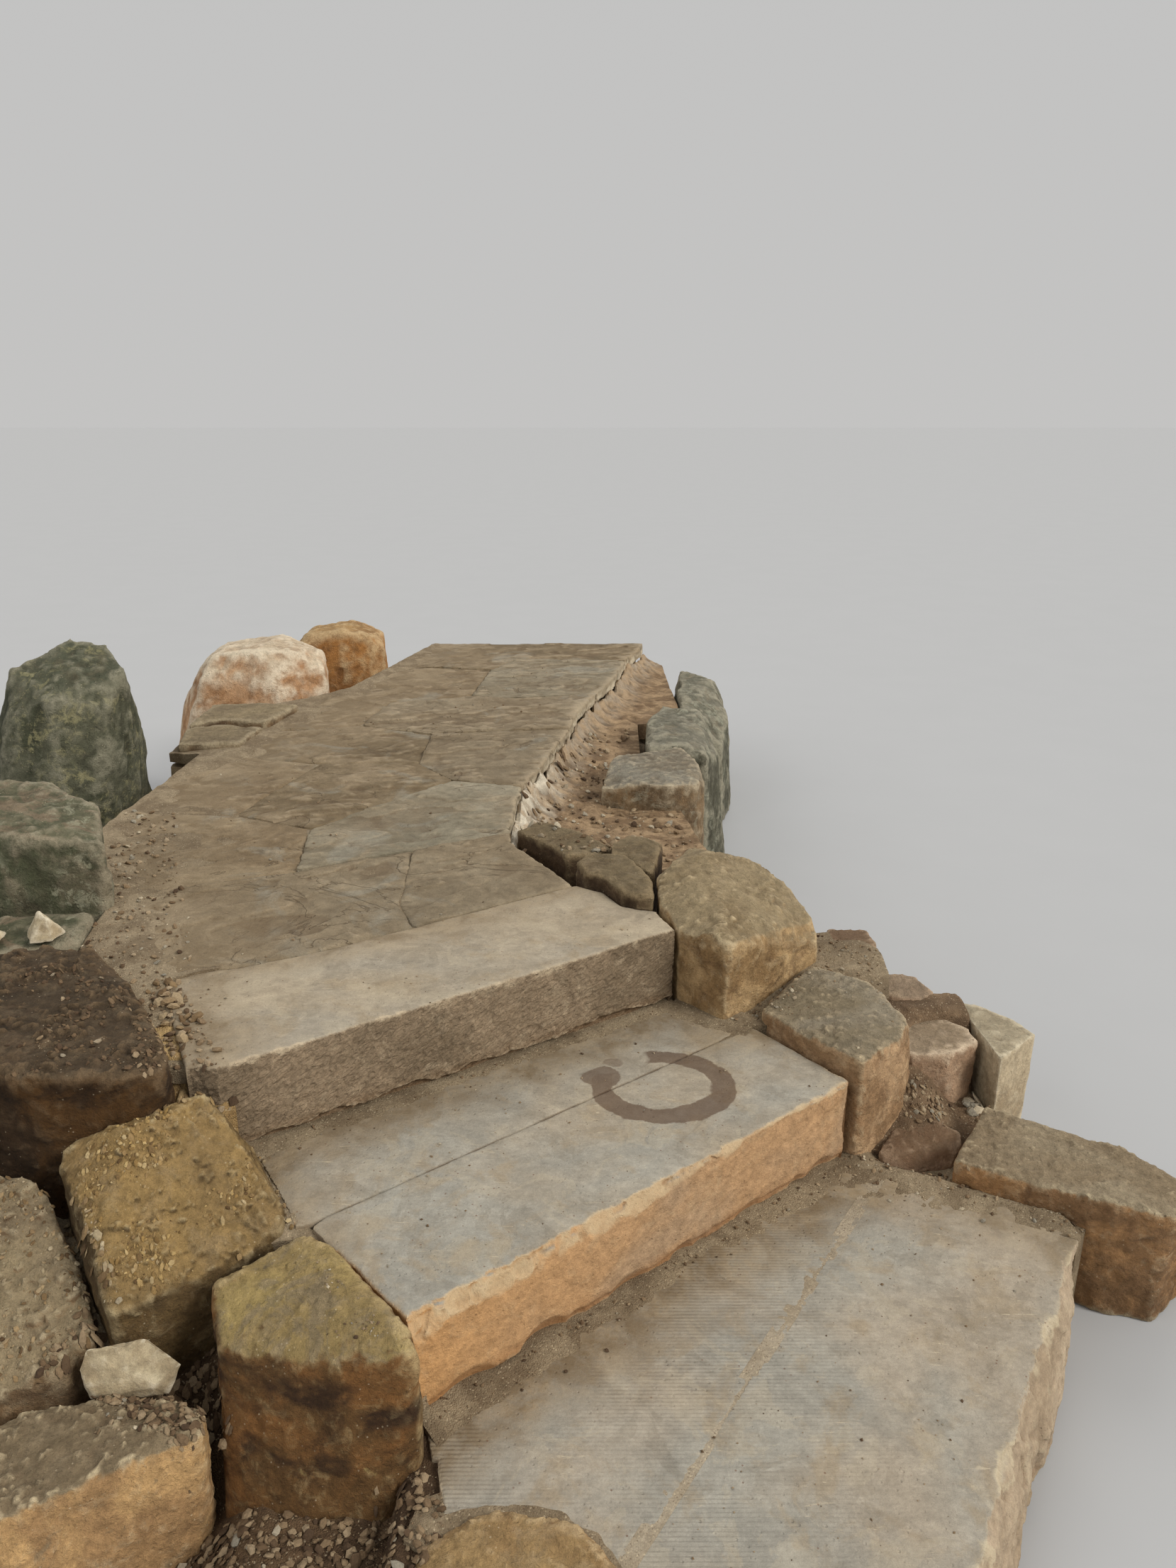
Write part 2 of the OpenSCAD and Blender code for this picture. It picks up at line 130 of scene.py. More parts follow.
def worley(p, seed=0, jitter=0.9):
    """nearest and second nearest distance, and a random number for the nearest cell"""
    i = np.floor(p)
    f1 = np.full(len(p), 9.0)
    f2 = np.full(len(p), 9.0)
    cell = np.zeros(len(p))
    for o in NEAR:
        c = i + o
        j = JIT[(_hash(c, seed) & U(4095)).astype(np.int64)]
        d = np.sqrt((((c + 0.5 + (j[:, :3] - 0.5) * jitter) - p) ** 2).sum(1))
        near = d < f1
        f2 = np.where(near, f1, np.minimum(f2, d))
        cell = np.where(near, j[:, 3], cell)
        f1 = np.where(near, d, f1)
    return f1, f2, cell


def scallop(p, seed=0, slope=0.5, jitter=0.95):
    """lower envelope of tilted bowls: shell-shaped hollows that meet in sharp ridges"""
    i = np.floor(p)
    best = np.full(len(p), 9.0)
    for o in NEAR:
        c = i + o
        h = (_hash(c, seed) & U(4095)).astype(np.int64)
        j = JIT[h]
        v = p - (c + 0.5 + (j[:, :3] - 0.5) * jitter)
        best = np.minimum(best, (v * v).sum(1) + slope * (v * GRAD[h & 255]).sum(1) + 0.35 * (j[:, 3] - 0.5))
    return best - 0.12


def facets(p, seed=0, tilt=0.9, jump=0.5, crisp=15.0):
    """broken planes: every cell is a tilted flat, and a narrow seam joins it to the next"""
    i = np.floor(p)
    num = np.zeros(len(p))
    den = np.full(len(p), 1e-9)
    for o in NEAR:
        c = i + o
        h = (_hash(c, seed) & U(4095)).astype(np.int64)
        j = JIT[h]
        v = p - (c + 0.5 + (j[:, :3] - 0.5) * 0.95)
        w = np.exp(-crisp * (v * v).sum(1))
        num += w * (tilt * (v * GRAD[h & 255]).sum(1) + jump * (j[:, 3] - 0.5))
        den += w
    return num / den


def warp(p, size, amount, seed=0):
    return p + amount * np.stack([fbm(p / size, 2, seed + 7 * k) for k in range(3)], 1)


def step(a, b, x):
    t = np.clip((x - a) / (b - a), 0, 1)
    return t * t * (3 - 2 * t)


# ------------------------------------------------------------------ mesh tools
def coords(me):
    a = np.empty(len(me.vertices) * 3, np.float32)
    me.vertices.foreach_get("co", a)
    return a.reshape(-1, 3).astype(float)


def set_coords(me, a):
    me.vertices.foreach_set("co", np.ascontiguousarray(a, np.float32).ravel())
    me.update()


def normals(me):
    a = np.empty(len(me.vertices) * 3, np.float32)
    me.vertex_normals.foreach_get("vector", a)
    return a.reshape(-1, 3).astype(float)


def edge_list(me):
    e = np.empty(len(me.edges) * 2, np.int32)
    me.edges.foreach_get("vertices", e)
    return e.reshape(-1, 2)


def averages(p, e, deg):
    n = len(p)
    return np.stack([(np.bincount(e[:, 0], p[e[:, 1], k], n) + np.bincount(e[:, 1], p[e[:, 0], k], n)) / deg
                     for k in range(p.shape[1])], 1)


def smooth(me, rounds, lam=0.5):
    p, e = coords(me), edge_list(me)
    deg = np.maximum(np.bincount(e.ravel(), minlength=len(p)), 1)
    for _ in range(rounds):
        p += lam * (averages(p, e, deg) - p)
    set_coords(me, p)


def modify(ob, kind, **kw):
    m = ob.modifiers.new("m", kind)
    for k, v in kw.items():
        setattr(m, k, v)
    dg = bpy.context.evaluated_depsgraph_get()
    dg.update()
    me = bpy.data.meshes.new_from_object(ob.evaluated_get(dg))
    ob.modifiers.clear()
    old = ob.data
    ob.data = me
    bpy.data.meshes.remove(old)
    return ob


def remesh(ob, voxel):
    return modify(ob, "REMESH", mode="VOXEL", voxel_size=voxel * COARSE)


def tris(ob):
    return sum(len(p.vertices) - 2 for p in ob.data.polygons)


def thin(ob, target):
    target = target * 0.82
    have = 2 * len(ob.data.polygons)
    if have > target:
        modify(ob, "DECIMATE", ratio=target / have, use_collapse_triangulate=True)
    return ob


def attribute(me, name, values):
    a = me.attributes.get(name) or me.attributes.new(name, "FLOAT", "POINT")
    a.data.foreach_set("value", np.ascontiguousarray(values, np.float32))


def new_object(name, me):
    ob = bpy.data.objects.new(name, me)
    bpy.context.scene.collection.objects.link(ob)
    return ob


def build(name, verts, faces):
    me = bpy.data.meshes.new(name)
    me.from_pydata(np.asarray(verts, float).tolist(), [], np.asarray(faces).tolist())
    me.update()
    return new_object(name, me)


def cad_copy(node, name):
    """A welded copy of a node's mesh."""
    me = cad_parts[node].data.copy()
    me.materials.clear()
    bm = bmesh.new()
    bm.from_mesh(me)
    bmesh.ops.remove_doubles(bm, verts=bm.verts, dist=1e-5)
    bm.to_mesh(me)
    bm.free()
    return new_object(name, me)


def cavity(me, rounds=6):
    """how far each point lies under (+) or over (-) its surroundings, in metres"""
    p, e = coords(me), edge_list(me)
    deg = np.maximum(np.bincount(e.ravel(), minlength=len(p)), 1)
    q = p.copy()
    for _ in range(rounds):
        q = averages(q, e, deg)
    return ((q - p) * normals(me)).sum(1)


def outline(node):
    """plan segments of a node's upright faces: starts, ends, outward normals"""
    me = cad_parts[node].data
    segs = {}
    for f in me.polygons:
        n = f.normal
        if abs(n.z) > 0.3:
            continue
        t = (-n.y, n.x)
        pts = sorted(((me.vertices[i].co.x * t[0] + me.vertices[i].co.y * t[1], me.vertices[i].co.x,
                       me.vertices[i].co.y) for i in f.vertices))
        a, b = pts[0][1:], pts[-1][1:]
        segs[tuple(round(v, 4) for v in (*a, *b))] = (n.x, n.y)
    k = np.array(list(segs))
    n = np.array(list(segs.values()))
    n /= np.linalg.norm(n, axis=1)[:, None]
    return k[:, :2], k[:, 2:], n


def side(node, p):
    """for points: plan distance to the nearest upright face, its outward normal and its number"""
    a, b, n = outline(node)
    best = np.full(len(p), 9.0)
    idx = np.zeros(len(p), int)
    for k in range(len(a)):
        t = b[k] - a[k]
        s = np.clip(((p[:, :2] - a[k]) @ t) / (t @ t), 0, 1)
        d = np.linalg.norm(p[:, :2] - a[k] - s[:, None] * t, axis=1)
        m = d < best
        best[m] = d[m]
        idx[m] = k
    nn = np.zeros((len(p), 3))
    nn[:, :2] = n[idx]
    return best, nn, idx


def convex_edges(node, angle=24):
    """sharp outer edges of a node: start, end, direction that points out between its two faces"""
    bm = bmesh.new()
    bm.from_mesh(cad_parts[node].data)
    bmesh.ops.remove_doubles(bm, verts=bm.verts, dist=1e-5)
    out = []
    for e in bm.edges:
        if len(e.link_faces) == 2 and e.calc_face_angle_signed(0) > math.radians(angle):
            v = (e.link_faces[0].normal + e.link_faces[1].normal).normalized()
            out.append((np.array(e.verts[0].co), np.array(e.verts[1].co), np.array(v)))
    bm.free()
    return out


def ragged_field(p):
    """small differences in depth that give a scar an uneven rim"""
    return 0.0024 * fbm(p / 0.028, 3, 501, 0.6)


def scoop(p, centre, radius, log=None, ragged=None, limit=None):
    """presses the points inside a sphere onto it, by no more than a limit: a shallow scar"""
    lo, hi = centre - radius - 0.004, centre + radius + 0.004
    m = np.flatnonzero(((p > lo) & (p < hi)).all(1))
    if not len(m):
        return
    v = p[m] - centre
    d = np.sqrt((v * v).sum(1))
    rr = np.full(len(m), float(radius)) if ragged is None else radius + ragged[m]
    k = d < rr
    if limit is not None:
        rr = np.minimum(rr, d + limit)
    p[m[k]] = centre + v[k] * (rr[k] / np.maximum(d[k], 1e-6))[:, None]
    if log is not None and k.any():
        log.append((centre, radius))


def scarred(p, log, tol=0.0016):
    m = np.zeros(len(p))
    rf = ragged_field(p)
    for c, r in log:
        d = np.abs(np.sqrt(((p - c) ** 2).sum(1)) - r - rf)
        m = np.maximum(m, step(2 * tol, tol, d))
    return m


def to_line(x, y, pts):
    """plan distance (m) from points to a polyline given in mm, and how far along it (m)"""
    q = np.stack([x, y], 1)
    best = np.full(len(q), 9.0)
    along = np.zeros(len(q))
    run = 0.0
    for (a, b) in zip(pts[:-1], pts[1:]):
        a2, b2 = at(*a)[:2], at(*b)[:2]
        t = b2 - a2
        ln = np.linalg.norm(t)
        s = np.clip(((q - a2) @ t) / (ln * ln), 0, 1)
        d = np.linalg.norm(q - a2 - s[:, None] * t, axis=1)
        m = d < best
        best[m] = d[m]
        along[m] = run + s[m] * ln
        run += ln
    return best, along


def inside(x, y, poly):
    pts = np.array([at(*p)[:2] for p in poly])
    c = np.zeros(len(x), bool)
    j = len(pts) - 1
    for i in range(len(pts)):
        xi, yi = pts[i]
        xj, yj = pts[j]
        cross = ((yi > y) != (yj > y)) & (x < (xj - xi) * (y - yi) / (yj - yi + 1e-12) + xi)
        c ^= cross
        j = i
    return c


# ------------------------------------------------------------------ shader tools
def lin(r, g, b):
    def f(c):
        c /= 255.0
        return c / 12.92 if c <= 0.04045 else ((c + 0.055) / 1.055) ** 2.4
    return (f(r), f(g), f(b), 1.0)


class Mat:
    def __init__(self, name):
        self.m = bpy.data.materials.new(name)
        self.m.use_nodes = True
        self.t = self.m.node_tree
        self.t.nodes.clear()
        self.out = self.n("ShaderNodeOutputMaterial")
        self.bsdf = self.n("ShaderNodeBsdfPrincipled")
        self.t.links.new(self.bsdf.outputs[0], self.out.inputs[0])
        self.co = self.n("ShaderNodeTexCoord").outputs["Object"]

    def n(self, kind, **props):
        x = self.t.nodes.new(kind)
        for k, v in props.items():
            setattr(x, k, v)
        return x

    def put(self, sock, v):
        if isinstance(v, bpy.types.NodeSocket):
            self.t.links.new(v, sock)
        elif v is not None:
            sock.default_value = v

    def noise(self, vec, scale, detail=4.0, rough=0.55, dist=0.0, colour=False):
        x = self.n("ShaderNodeTexNoise")
        self.put(x.inputs["Vector"], vec)
        x.inputs["Scale"].default_value = scale
        x.inputs["Detail"].default_value = detail
        x.inputs["Roughness"].default_value = rough
        x.inputs["Distortion"].default_value = dist
        return x.outputs["Color" if colour else "Fac"]

    def voronoi(self, vec, scale, feature="F1", out="Distance", rand=1.0):
        x = self.n("ShaderNodeTexVoronoi", feature=feature)
        self.put(x.inputs["Vector"], vec)
        x.inputs["Scale"].default_value = scale
        x.inputs["Randomness"].default_value = rand
        return x.outputs[out]

    def wave(self, vec, scale, dist=0.0, detail=2.0, dscale=1.0, axis="Y"):
        x = self.n("ShaderNodeTexWave", wave_type="BANDS", bands_direction=axis)
        self.put(x.inputs["Vector"], vec)
        x.inputs["Scale"].default_value = scale
        x.inputs["Distortion"].default_value = dist
        x.inputs["Detail"].default_value = detail
        x.inputs["Detail Scale"].default_value = dscale
        return x.outputs["Fac"]

    def mapping(self, vec, scale=(1, 1, 1), rot=(0, 0, 0), loc=(0, 0, 0)):
        x = self.n("ShaderNodeMapping")
        self.put(x.inputs["Vector"], vec)
        x.inputs["Scale"].default_value = scale
        x.inputs["Rotation"].default_value = rot
        x.inputs["Location"].default_value = loc
        return x.outputs[0]

    def ramp(self, fac, stops, mode="LINEAR"):
        x = self.n("ShaderNodeValToRGB")
        r = x.color_ramp
        r.interpolation = mode
        while len(r.elements) < len(stops):
            r.elements.new(0.5)
        for e, (pos, c) in zip(r.elements, stops):
            e.position = pos
            e.color = c if len(c) == 4 else (*c, 1)
        self.put(x.inputs[0], fac)
        return x.outputs[0]

    def mix(self, fac, a, b, mode="MIX"):
        x = self.n("ShaderNodeMix", data_type="RGBA", blend_type=mode)
        self.put(x.inputs[0], fac)
        self.put(x.inputs[6], a)
        self.put(x.inputs[7], b)
        return x.outputs[2]

    def math(self, op, a, b=None, clamp=False):
        x = self.n("ShaderNodeMath", operation=op, use_clamp=clamp)
        self.put(x.inputs[0], a)
        if b is not None:
            self.put(x.inputs[1], b)
        return x.outputs[0]

    def times(self, *a):
        out = a[0]
        for b in a[1:]:
            out = self.math("MULTIPLY", out, b)
        return out

    def vmath(self, op, a, b=None):
        x = self.n("ShaderNodeVectorMath", operation=op)
        self.put(x.inputs[0], a)
        if b is not None:
            self.put(x.inputs[1], b)
        return x.outputs["Value" if op in ("LENGTH", "DISTANCE", "DOT_PRODUCT") else "Vector"]

    def span(self, v, a, b, c=0.0, d=1.0, smooth=True):
        x = self.n("ShaderNodeMapRange", clamp=True)
        x.interpolation_type = "SMOOTHSTEP" if smooth else "LINEAR"
        self.put(x.inputs["Value"], v)
        x.inputs["From Min"].default_value = a
        x.inputs["From Max"].default_value = b
        x.inputs["To Min"].default_value = c
        x.inputs["To Max"].default_value = d
        return x.outputs[0]

    def attr(self, name):
        return self.n("ShaderNodeAttribute", attribute_name=name).outputs["Fac"]

    def shade(self, colour, amount):
        """multiplies a colour by a grey value"""
        x = self.n("ShaderNodeCombineColor")
        for k in range(3):
            self.put(x.inputs[k], amount)
        return self.mix(1.0, colour, x.outputs[0], "MULTIPLY")

    def bump(self, height, distance, normal=None, strength=1.0):
        x = self.n("ShaderNodeBump")
        x.inputs["Strength"].default_value = strength
        x.inputs["Distance"].default_value = distance
        self.put(x.inputs["Height"], height)
        if normal is not None:
            self.put(x.inputs["Normal"], normal)
        return x.outputs[0]

    def finish(self, colour, rough, normal, spec=0.2):
        self.put(self.bsdf.inputs["Base Color"], colour)
        self.put(self.bsdf.inputs["Roughness"], rough)
        self.bsdf.inputs["Specular IOR Level"].default_value = spec
        self.put(self.bsdf.inputs["Normal"], normal)
        return self.m


DUST = lin(146, 130, 105)
DUST2 = lin(116, 100, 77)


def speckle(k, co, col, amount=0.16):
    """sand grains: a fine salt-and-pepper on any stone"""
    g = k.noise(co, 620.0, 3, 0.7)
    col = k.shade(col, k.span(g, 0.3, 0.7, 1 - amount, 1 + amount, smooth=False))
    g2 = k.noise(co, 190.0, 4, 0.65)
    return k.shade(col, k.span(g2, 0.28, 0.72, 1 - amount * 0.8, 1 + amount * 0.8, smooth=False))


def sandstone(name, top, top2, face, face2, pale, ripple=0.0, ring=False, seed=0, left=None, strokes=0.0,
              face_pale=0.25, foot_shade_and_dust_col=None):
    """Sawn tread over a split face."""
    k = Mat(name)
    co = k.mapping(k.co, loc=(seed * 1.37, seed * 0.71, seed * 0.33))
    sep = k.n("ShaderNodeSeparateXYZ")
    k.put(sep.inputs[0], k.co)
    big = k.noise(co, 2.6, 4, 0.5, 0.5)
    mid = k.noise(co, 11.0, 6, 0.62, 0.5)
    mot = k.noise(co, 46.0, 6, 0.68)
    # tread
    t = k.mix(k.span(big, 0.38, 0.64), top, top2)
    cloud = k.noise(co, 6.5, 8, 0.68, 0.7)
    t = k.shade(t, k.span(cloud, 0.3, 0.72, 0.88, 1.10))
    scuff = k.noise(k.mapping(co, scale=(1, 2.4, 1), rot=(0, 0, 0.7)), 24.0, 7, 0.72, 0.8)
    t = k.shade(t, k.span(scuff, 0.3, 0.7, 0.90, 1.09))
    t = k.mix(k.times(k.span(mid, 0.50, 0.66), 0.55), t, DUST)
    t = k.shade(t, k.span(mot, 0.25, 0.75, 0.89, 1.11))
    stain = k.times(k.span(k.noise(co, 3.4, 6, 0.66, 1.2), 0.56, 0.66), 0.28)
    t = k.mix(stain, t, lin(122, 112, 96))
    # dried patches with a clear outline
    dry = k.noise(co, 8.5, 9, 0.58, 0.9)
    t = k.mix(k.times(k.span(dry, 0.560, 0.575), 0.20), t, lin(178, 166, 142))
    t = k.mix(k.times(k.span(dry, 0.415, 0.400), 0.22), t, lin(112, 103, 88))
    # scratches and rubbed marks
    sc = k.noise(k.mapping(co, scale=(0.35, 3.2, 1), rot=(0, 0, 0.9)), 34.0, 3, 0.6, 1.6)
    t = k.mix(k.times(k.span(sc, 0.63, 0.70), 0.5, k.span(mid, 0.45, 0.6)), t, lin(196, 182, 156))
    # split face
    f = k.mix(k.span(k.noise(co, 3.2, 5, 0.55, 0.6), 0.4, 0.6), face, face2)
    if left is not None:
        f = k.mix(k.span(sep.outputs[0], left[1], left[2]), left[0], f)
    f = k.mix(k.times(k.span(k.noise(co, 21.0, 7, 0.7, 0.7), 0.52, 0.68), face_pale), f, pale)
    f = k.shade(f, k.span(mot, 0.22, 0.78, 0.76, 1.2))
    f = k.mix(k.times(k.attr("band"), k.span(mot, 0.2, 0.5, 0.5, 1.0)), f, pale)
    # painted shade along the riser's foot, with some dust
    f = k.mix(k.times(k.attr("foot"), 0.62), f, foot_shade_and_dust_col or lin(118, 90, 62))
    col = k.mix(k.attr("top"), f, t)
    col = k.mix(k.times(k.attr("chip"), k.span(mot, 0.3, 0.55, 0.35, 1.0), 0.66), col, pale)
    col = k.mix(k.times(k.attr("edge"), k.span(mot, 0.35, 0.6, 0.2, 0.8)), col, pale)
    # painted shade in hollows and creases
    col = k.mix(k.times(k.attr("hollow_shade"), 0.62), col, lin(96, 74, 52))
    d = k.math("ADD", k.attr("dust"), k.times(k.span(k.noise(co, 7.5, 6, 0.66, 0.6), 0.56, 0.72), 0.35, k.attr("top")), True)
    col = k.mix(k.times(d, k.span(mot, 0.3, 0.6, 0.6, 1.0)), col, k.mix(k.span(mid, 0.4, 0.6), DUST, DUST2))
    # specks and small dark bits
    sp = k.voronoi(co, 60.0)
    spm = k.times(k.span(sp, 0.07, 0.13, 1.0, 0.0), k.span(k.noise(co, 13, 2), 0.52, 0.6), k.attr("top"))
    col = k.mix(k.times(spm, 0.65), col, lin(100, 68, 50))
    col = speckle(k, co, col, 0.12)
    if ring:
        wob = k.vmath("SUBTRACT", k.noise(k.co, 24.0, 3, 0.6, 0.0, True), (0.5, 0.5, 0.5))
        wob = k.vmath("MULTIPLY", wob, (0.026, 0.026, 0.0))
        pt = k.vmath("ADD", k.co, wob)

        def blob(bx, bd, rx, ry, soft=0.1):
            b = at(bx, bd)
            o2 = k.vmath("SUBTRACT", pt, (float(b[0]), float(b[1]), 0.0))
            r2 = k.vmath("LENGTH", k.vmath("MULTIPLY", o2, (1000.0 / rx, 1000.0 / ry, 0.0)))
            return k.span(r2, 1.0 + soft / 2, 1.0 - soft / 2), o2
        outer, off = blob(153, 1996, 150, 128, 0.03)
        hole, _ = blob(150, 2000, 101, 82, 0.05)
        band = k.times(outer, k.math("SUBTRACT", 1.0, hole))
        s2 = k.n("ShaderNodeSeparateXYZ")
        k.put(s2.inputs[0], off)
        gap = k.times(k.span(s2.outputs[0], -0.022, -0.036), k.span(s2.outputs[1], 0.040, 0.052))
        band = k.times(band, k.math("SUBTRACT", 1.0, gap))
        b1, _ = blob(28, 2026, 40, 38, 0.12)
        b2, _ = blob(54, 2080, 22, 16, 0.3)
        band = k.math("MAXIMUM", band, k.times(b1, 0.9))
        band = k.math("MAXIMUM", band, k.times(b2, 0.6))
        band = k.times(band, k.attr("top"))
        col = k.mix(band, col, k.mix(0.72, col, lin(84, 62, 46)))
    # relief
    h = k.math("ADD", k.times(mot, 1.0), k.times(k.noise(co, 190.0, 4, 0.65), 0.6))
    h = k.math("SUBTRACT", k.math("ADD", h, k.times(k.noise(co, 620.0, 3, 0.7), 0.22)), 0.91)
    h = k.times(h, k.span(k.attr("top"), 0.0, 1.0, 1.0, 0.33))
    nrm = k.bump(h, 0.0042)
    pit = k.times(k.span(k.voronoi(co, 75.0), 0.05, 0.22), k.span(k.noise(co, 9.0, 3), 0.40, 0.6))
    nrm = k.bump(pit, 0.0011, nrm)
    if strokes:
        # short tool and split marks that lean to the right
        q = k.mapping(co, rot=(0, math.radians(-58), 0))
        s1 = k.noise(k.mapping(q, scale=(1.0, 0.6, 0.30)), 150.0, 4, 0.6, 0.5)
        s2 = k.voronoi(k.mapping(q, scale=(1.0, 0.6, 0.38)), 95.0)
        inv = k.math("SUBTRACT", 1.0, k.attr("top"))
        both = k.math("SUBTRACT", k.math("ADD", k.span(s1, 0.34, 0.66), k.times(s2, 0.7)), 0.85)
        nrm = k.bump(k.times(both, inv), 0.0030 * strokes, nrm)
    if ripple:
        w = k.wave(k.mapping(k.co, scale=(0.05, 1, 0), rot=(0, 0, 0.03)), 43.0, 1.2, 2.0, 0.35, "Y")
        amt = k.times(k.attr("top"), k.span(k.noise(co, 3.0, 4), 0.42, 0.6), k.span(sep.outputs[0], 0.72, 0.98, 1.0, 0.0),
                      k.span(sep.outputs[1], -1.75, -1.30, 1.0, 0.35))
        nrm = k.bump(k.times(w, amt), 0.0011 * ripple, nrm)
    return k.finish(col, 0.93, nrm)


def riven(name, a, b, c, seed=0, turn=0.5):
    """Landing flags: dusty riven stone."""
    k = Mat(name)
    co = k.mapping(k.co, loc=(seed * 2.13, seed * 1.17, seed * 0.4))
    st = k.mapping(co, scale=(0.9, 1.35, 1.0), rot=(0, 0, -turn))
    streak = k.noise(st, 3.2, 7, 0.64, 0.9)
    s2 = k.noise(co, 15.0, 7, 0.68, 1.0)
    big = k.noise(co, 1.6, 4, 0.5, 0.6)
    mot = k.noise(co, 42.0, 6, 0.68)
    mid = k.noise(co, 9.0, 6, 0.65, 0.8)
    col = k.ramp(streak, [(0.32, a), (0.50, b), (0.66, c)])
    col = k.mix(k.times(k.span(big, 0.42, 0.62), 0.5), col, DUST2)
    col = k.mix(k.times(k.span(mid, 0.5, 0.68), 0.45), col, DUST)
    col = k.mix(k.times(k.span(k.noise(co, 4.5, 5, 0.6, 0.9), 0.56, 0.68), 0.4), col, lin(140, 138, 126))
    col = k.shade(col, k.span(s2, 0.25, 0.75, 0.86, 1.13))
    col = k.shade(col, k.span(mot, 0.22, 0.78, 0.84, 1.16))
    # broken lines where the layers of the stone part
    part = k.math("ABSOLUTE", k.math("SUBTRACT", k.noise(st, 2.6, 5, 0.58, 1.2), 0.5))
    part = k.times(k.span(part, 0.0, 0.0075, 1.0, 0.0), k.span(k.noise(co, 3.3, 3, 0.5, 0.5), 0.44, 0.56))
    col = k.mix(k.times(part, 0.55), col, lin(80, 64, 46))
    # painted shade in hollows and creases
    col = k.mix(k.times(k.attr("hollow_shade"), 0.6), col, lin(92, 74, 54))
    col = k.mix(k.times(k.attr("edge"), 0.4), col, lin(180, 163, 136))
    col = k.mix(k.times(k.attr("dust"), k.span(mot, 0.25, 0.6, 0.6, 1.0)), col, k.mix(k.span(mid, 0.4, 0.6), DUST, DUST2))
    col = k.mix(k.times(k.attr("mort"), k.span(k.noise(co, 17.0, 6, 0.66, 0.6), 0.42, 0.58, 0.15, 0.95)), col,
                lin(196, 184, 160))
    col = speckle(k, co, col, 0.13)
    h = k.math("ADD", k.times(s2, 0.9), k.times(mot, 0.8))
    h = k.math("ADD", h, k.times(k.noise(co, 190.0, 4, 0.65), 0.45))
    h = k.math("SUBTRACT", h, k.times(part, 0.5))
    nrm = k.bump(h, 0.0042)
    nrm = k.bump(k.noise(co, 620.0, 3, 0.7), 0.0008, nrm)
    return k.finish(col, 0.95, nrm)


def boulder(name, top, top2, face, face2, stain, pale, lichen=None, lichen_amt=0.0, seed=0, stain_amt=0.5,
            pale_amt=0.25, blotch=None, blotch_amt=0.0, dust=0.35, turn=(0.35, 0.75), relief=0.0060):
    """Rough stone. Attributes: up, hollow_shade (painted shade in hollows), edge, low (painted shade near the ground).
    """
    k = Mat(name)
    co = k.mapping(k.co, loc=(seed * 1.91, seed * 1.23, seed * 0.57))
    big = k.noise(co, 4.5, 5, 0.55, 0.6)
    mid = k.noise(co, 15.0, 7, 0.66, 0.6)
    mot = k.noise(co, 46.0, 6, 0.7)
    up = k.span(k.math("ADD", k.attr("up"), k.times(k.math("SUBTRACT", mid, 0.5), 0.8)), *turn)
    t = k.mix(k.span(big, 0.4, 0.6), top, top2)
    if blotch is not None:
        t = k.mix(k.span(k.noise(co, 9.0, 6, 0.66, 1.2), 0.50, 0.6, 0, blotch_amt), t, blotch)
    t = k.mix(k.times(k.span(k.noise(co, 19.0, 7, 0.7, 0.4), 0.48, 0.66), dust), t, DUST)
    f = k.mix(k.span(k.noise(co, 6.0, 6, 0.62, 0.9), 0.42, 0.58), face, face2)
    f = k.mix(k.times(k.span(k.noise(k.mapping(co, scale=(1, 1, 1.6)), 8.0, 7, 0.7, 0.9), 0.52, 0.64), stain_amt), f, stain)
    f = k.mix(k.times(k.span(k.noise(co, 24.0, 7, 0.7, 0.6), 0.52, 0.68), pale_amt), f, pale)
    col = k.mix(up, f, t)
    if lichen is not None:
        li = k.times(k.span(k.noise(co, 26.0, 8, 0.74, 0.6), 0.5, 0.6), k.span(k.noise(co, 5.0, 4, 0.6, 0.5), 0.4, 0.58))
        col = k.mix(k.times(li, lichen_amt), col, lichen)
    col = k.shade(col, k.span(mot, 0.22, 0.78, 0.72, 1.24))
    col = k.mix(k.times(k.attr("mark"), k.span(mot, 0.25, 0.5, 0.6, 1.0)), col, stain)
    col = k.mix(k.times(k.attr("edge"), k.span(mot, 0.3, 0.6, 0.3, 0.9)), col, pale)
    # painted shade in hollows, in a darkened stain colour
    col = k.mix(k.times(k.attr("hollow_shade"), 0.5), col, k.mix(0.4, stain, lin(62, 47, 34)))
    # painted shade near the ground: darker towards the stone's bottom
    col = k.shade(col, k.span(k.attr("low"), 0, 1, 1.0, 0.8))
    sp = k.voronoi(co, 85.0)
    spm = k.times(k.span(sp, 0.08, 0.16, 1.0, 0.0), k.span(k.noise(co, 21, 2), 0.5, 0.6))
    col = k.mix(k.times(spm, 0.35), col, lin(214, 198, 168))
    col = speckle(k, co, col, 0.17)
    h = k.math("ADD", mot, k.times(k.noise(co, 190.0, 4, 0.65), 0.6))
    h = k.math("ADD", h, k.times(k.noise(co, 620.0, 3, 0.7), 0.25))
    nrm = k.bump(h, relief)
    nrm = k.bump(k.times(k.span(k.voronoi(co, 70.0), 0.05, 0.3), k.span(mid, 0.4, 0.6)), 0.27 * relief, nrm)
    return k.finish(col, 0.96, nrm)


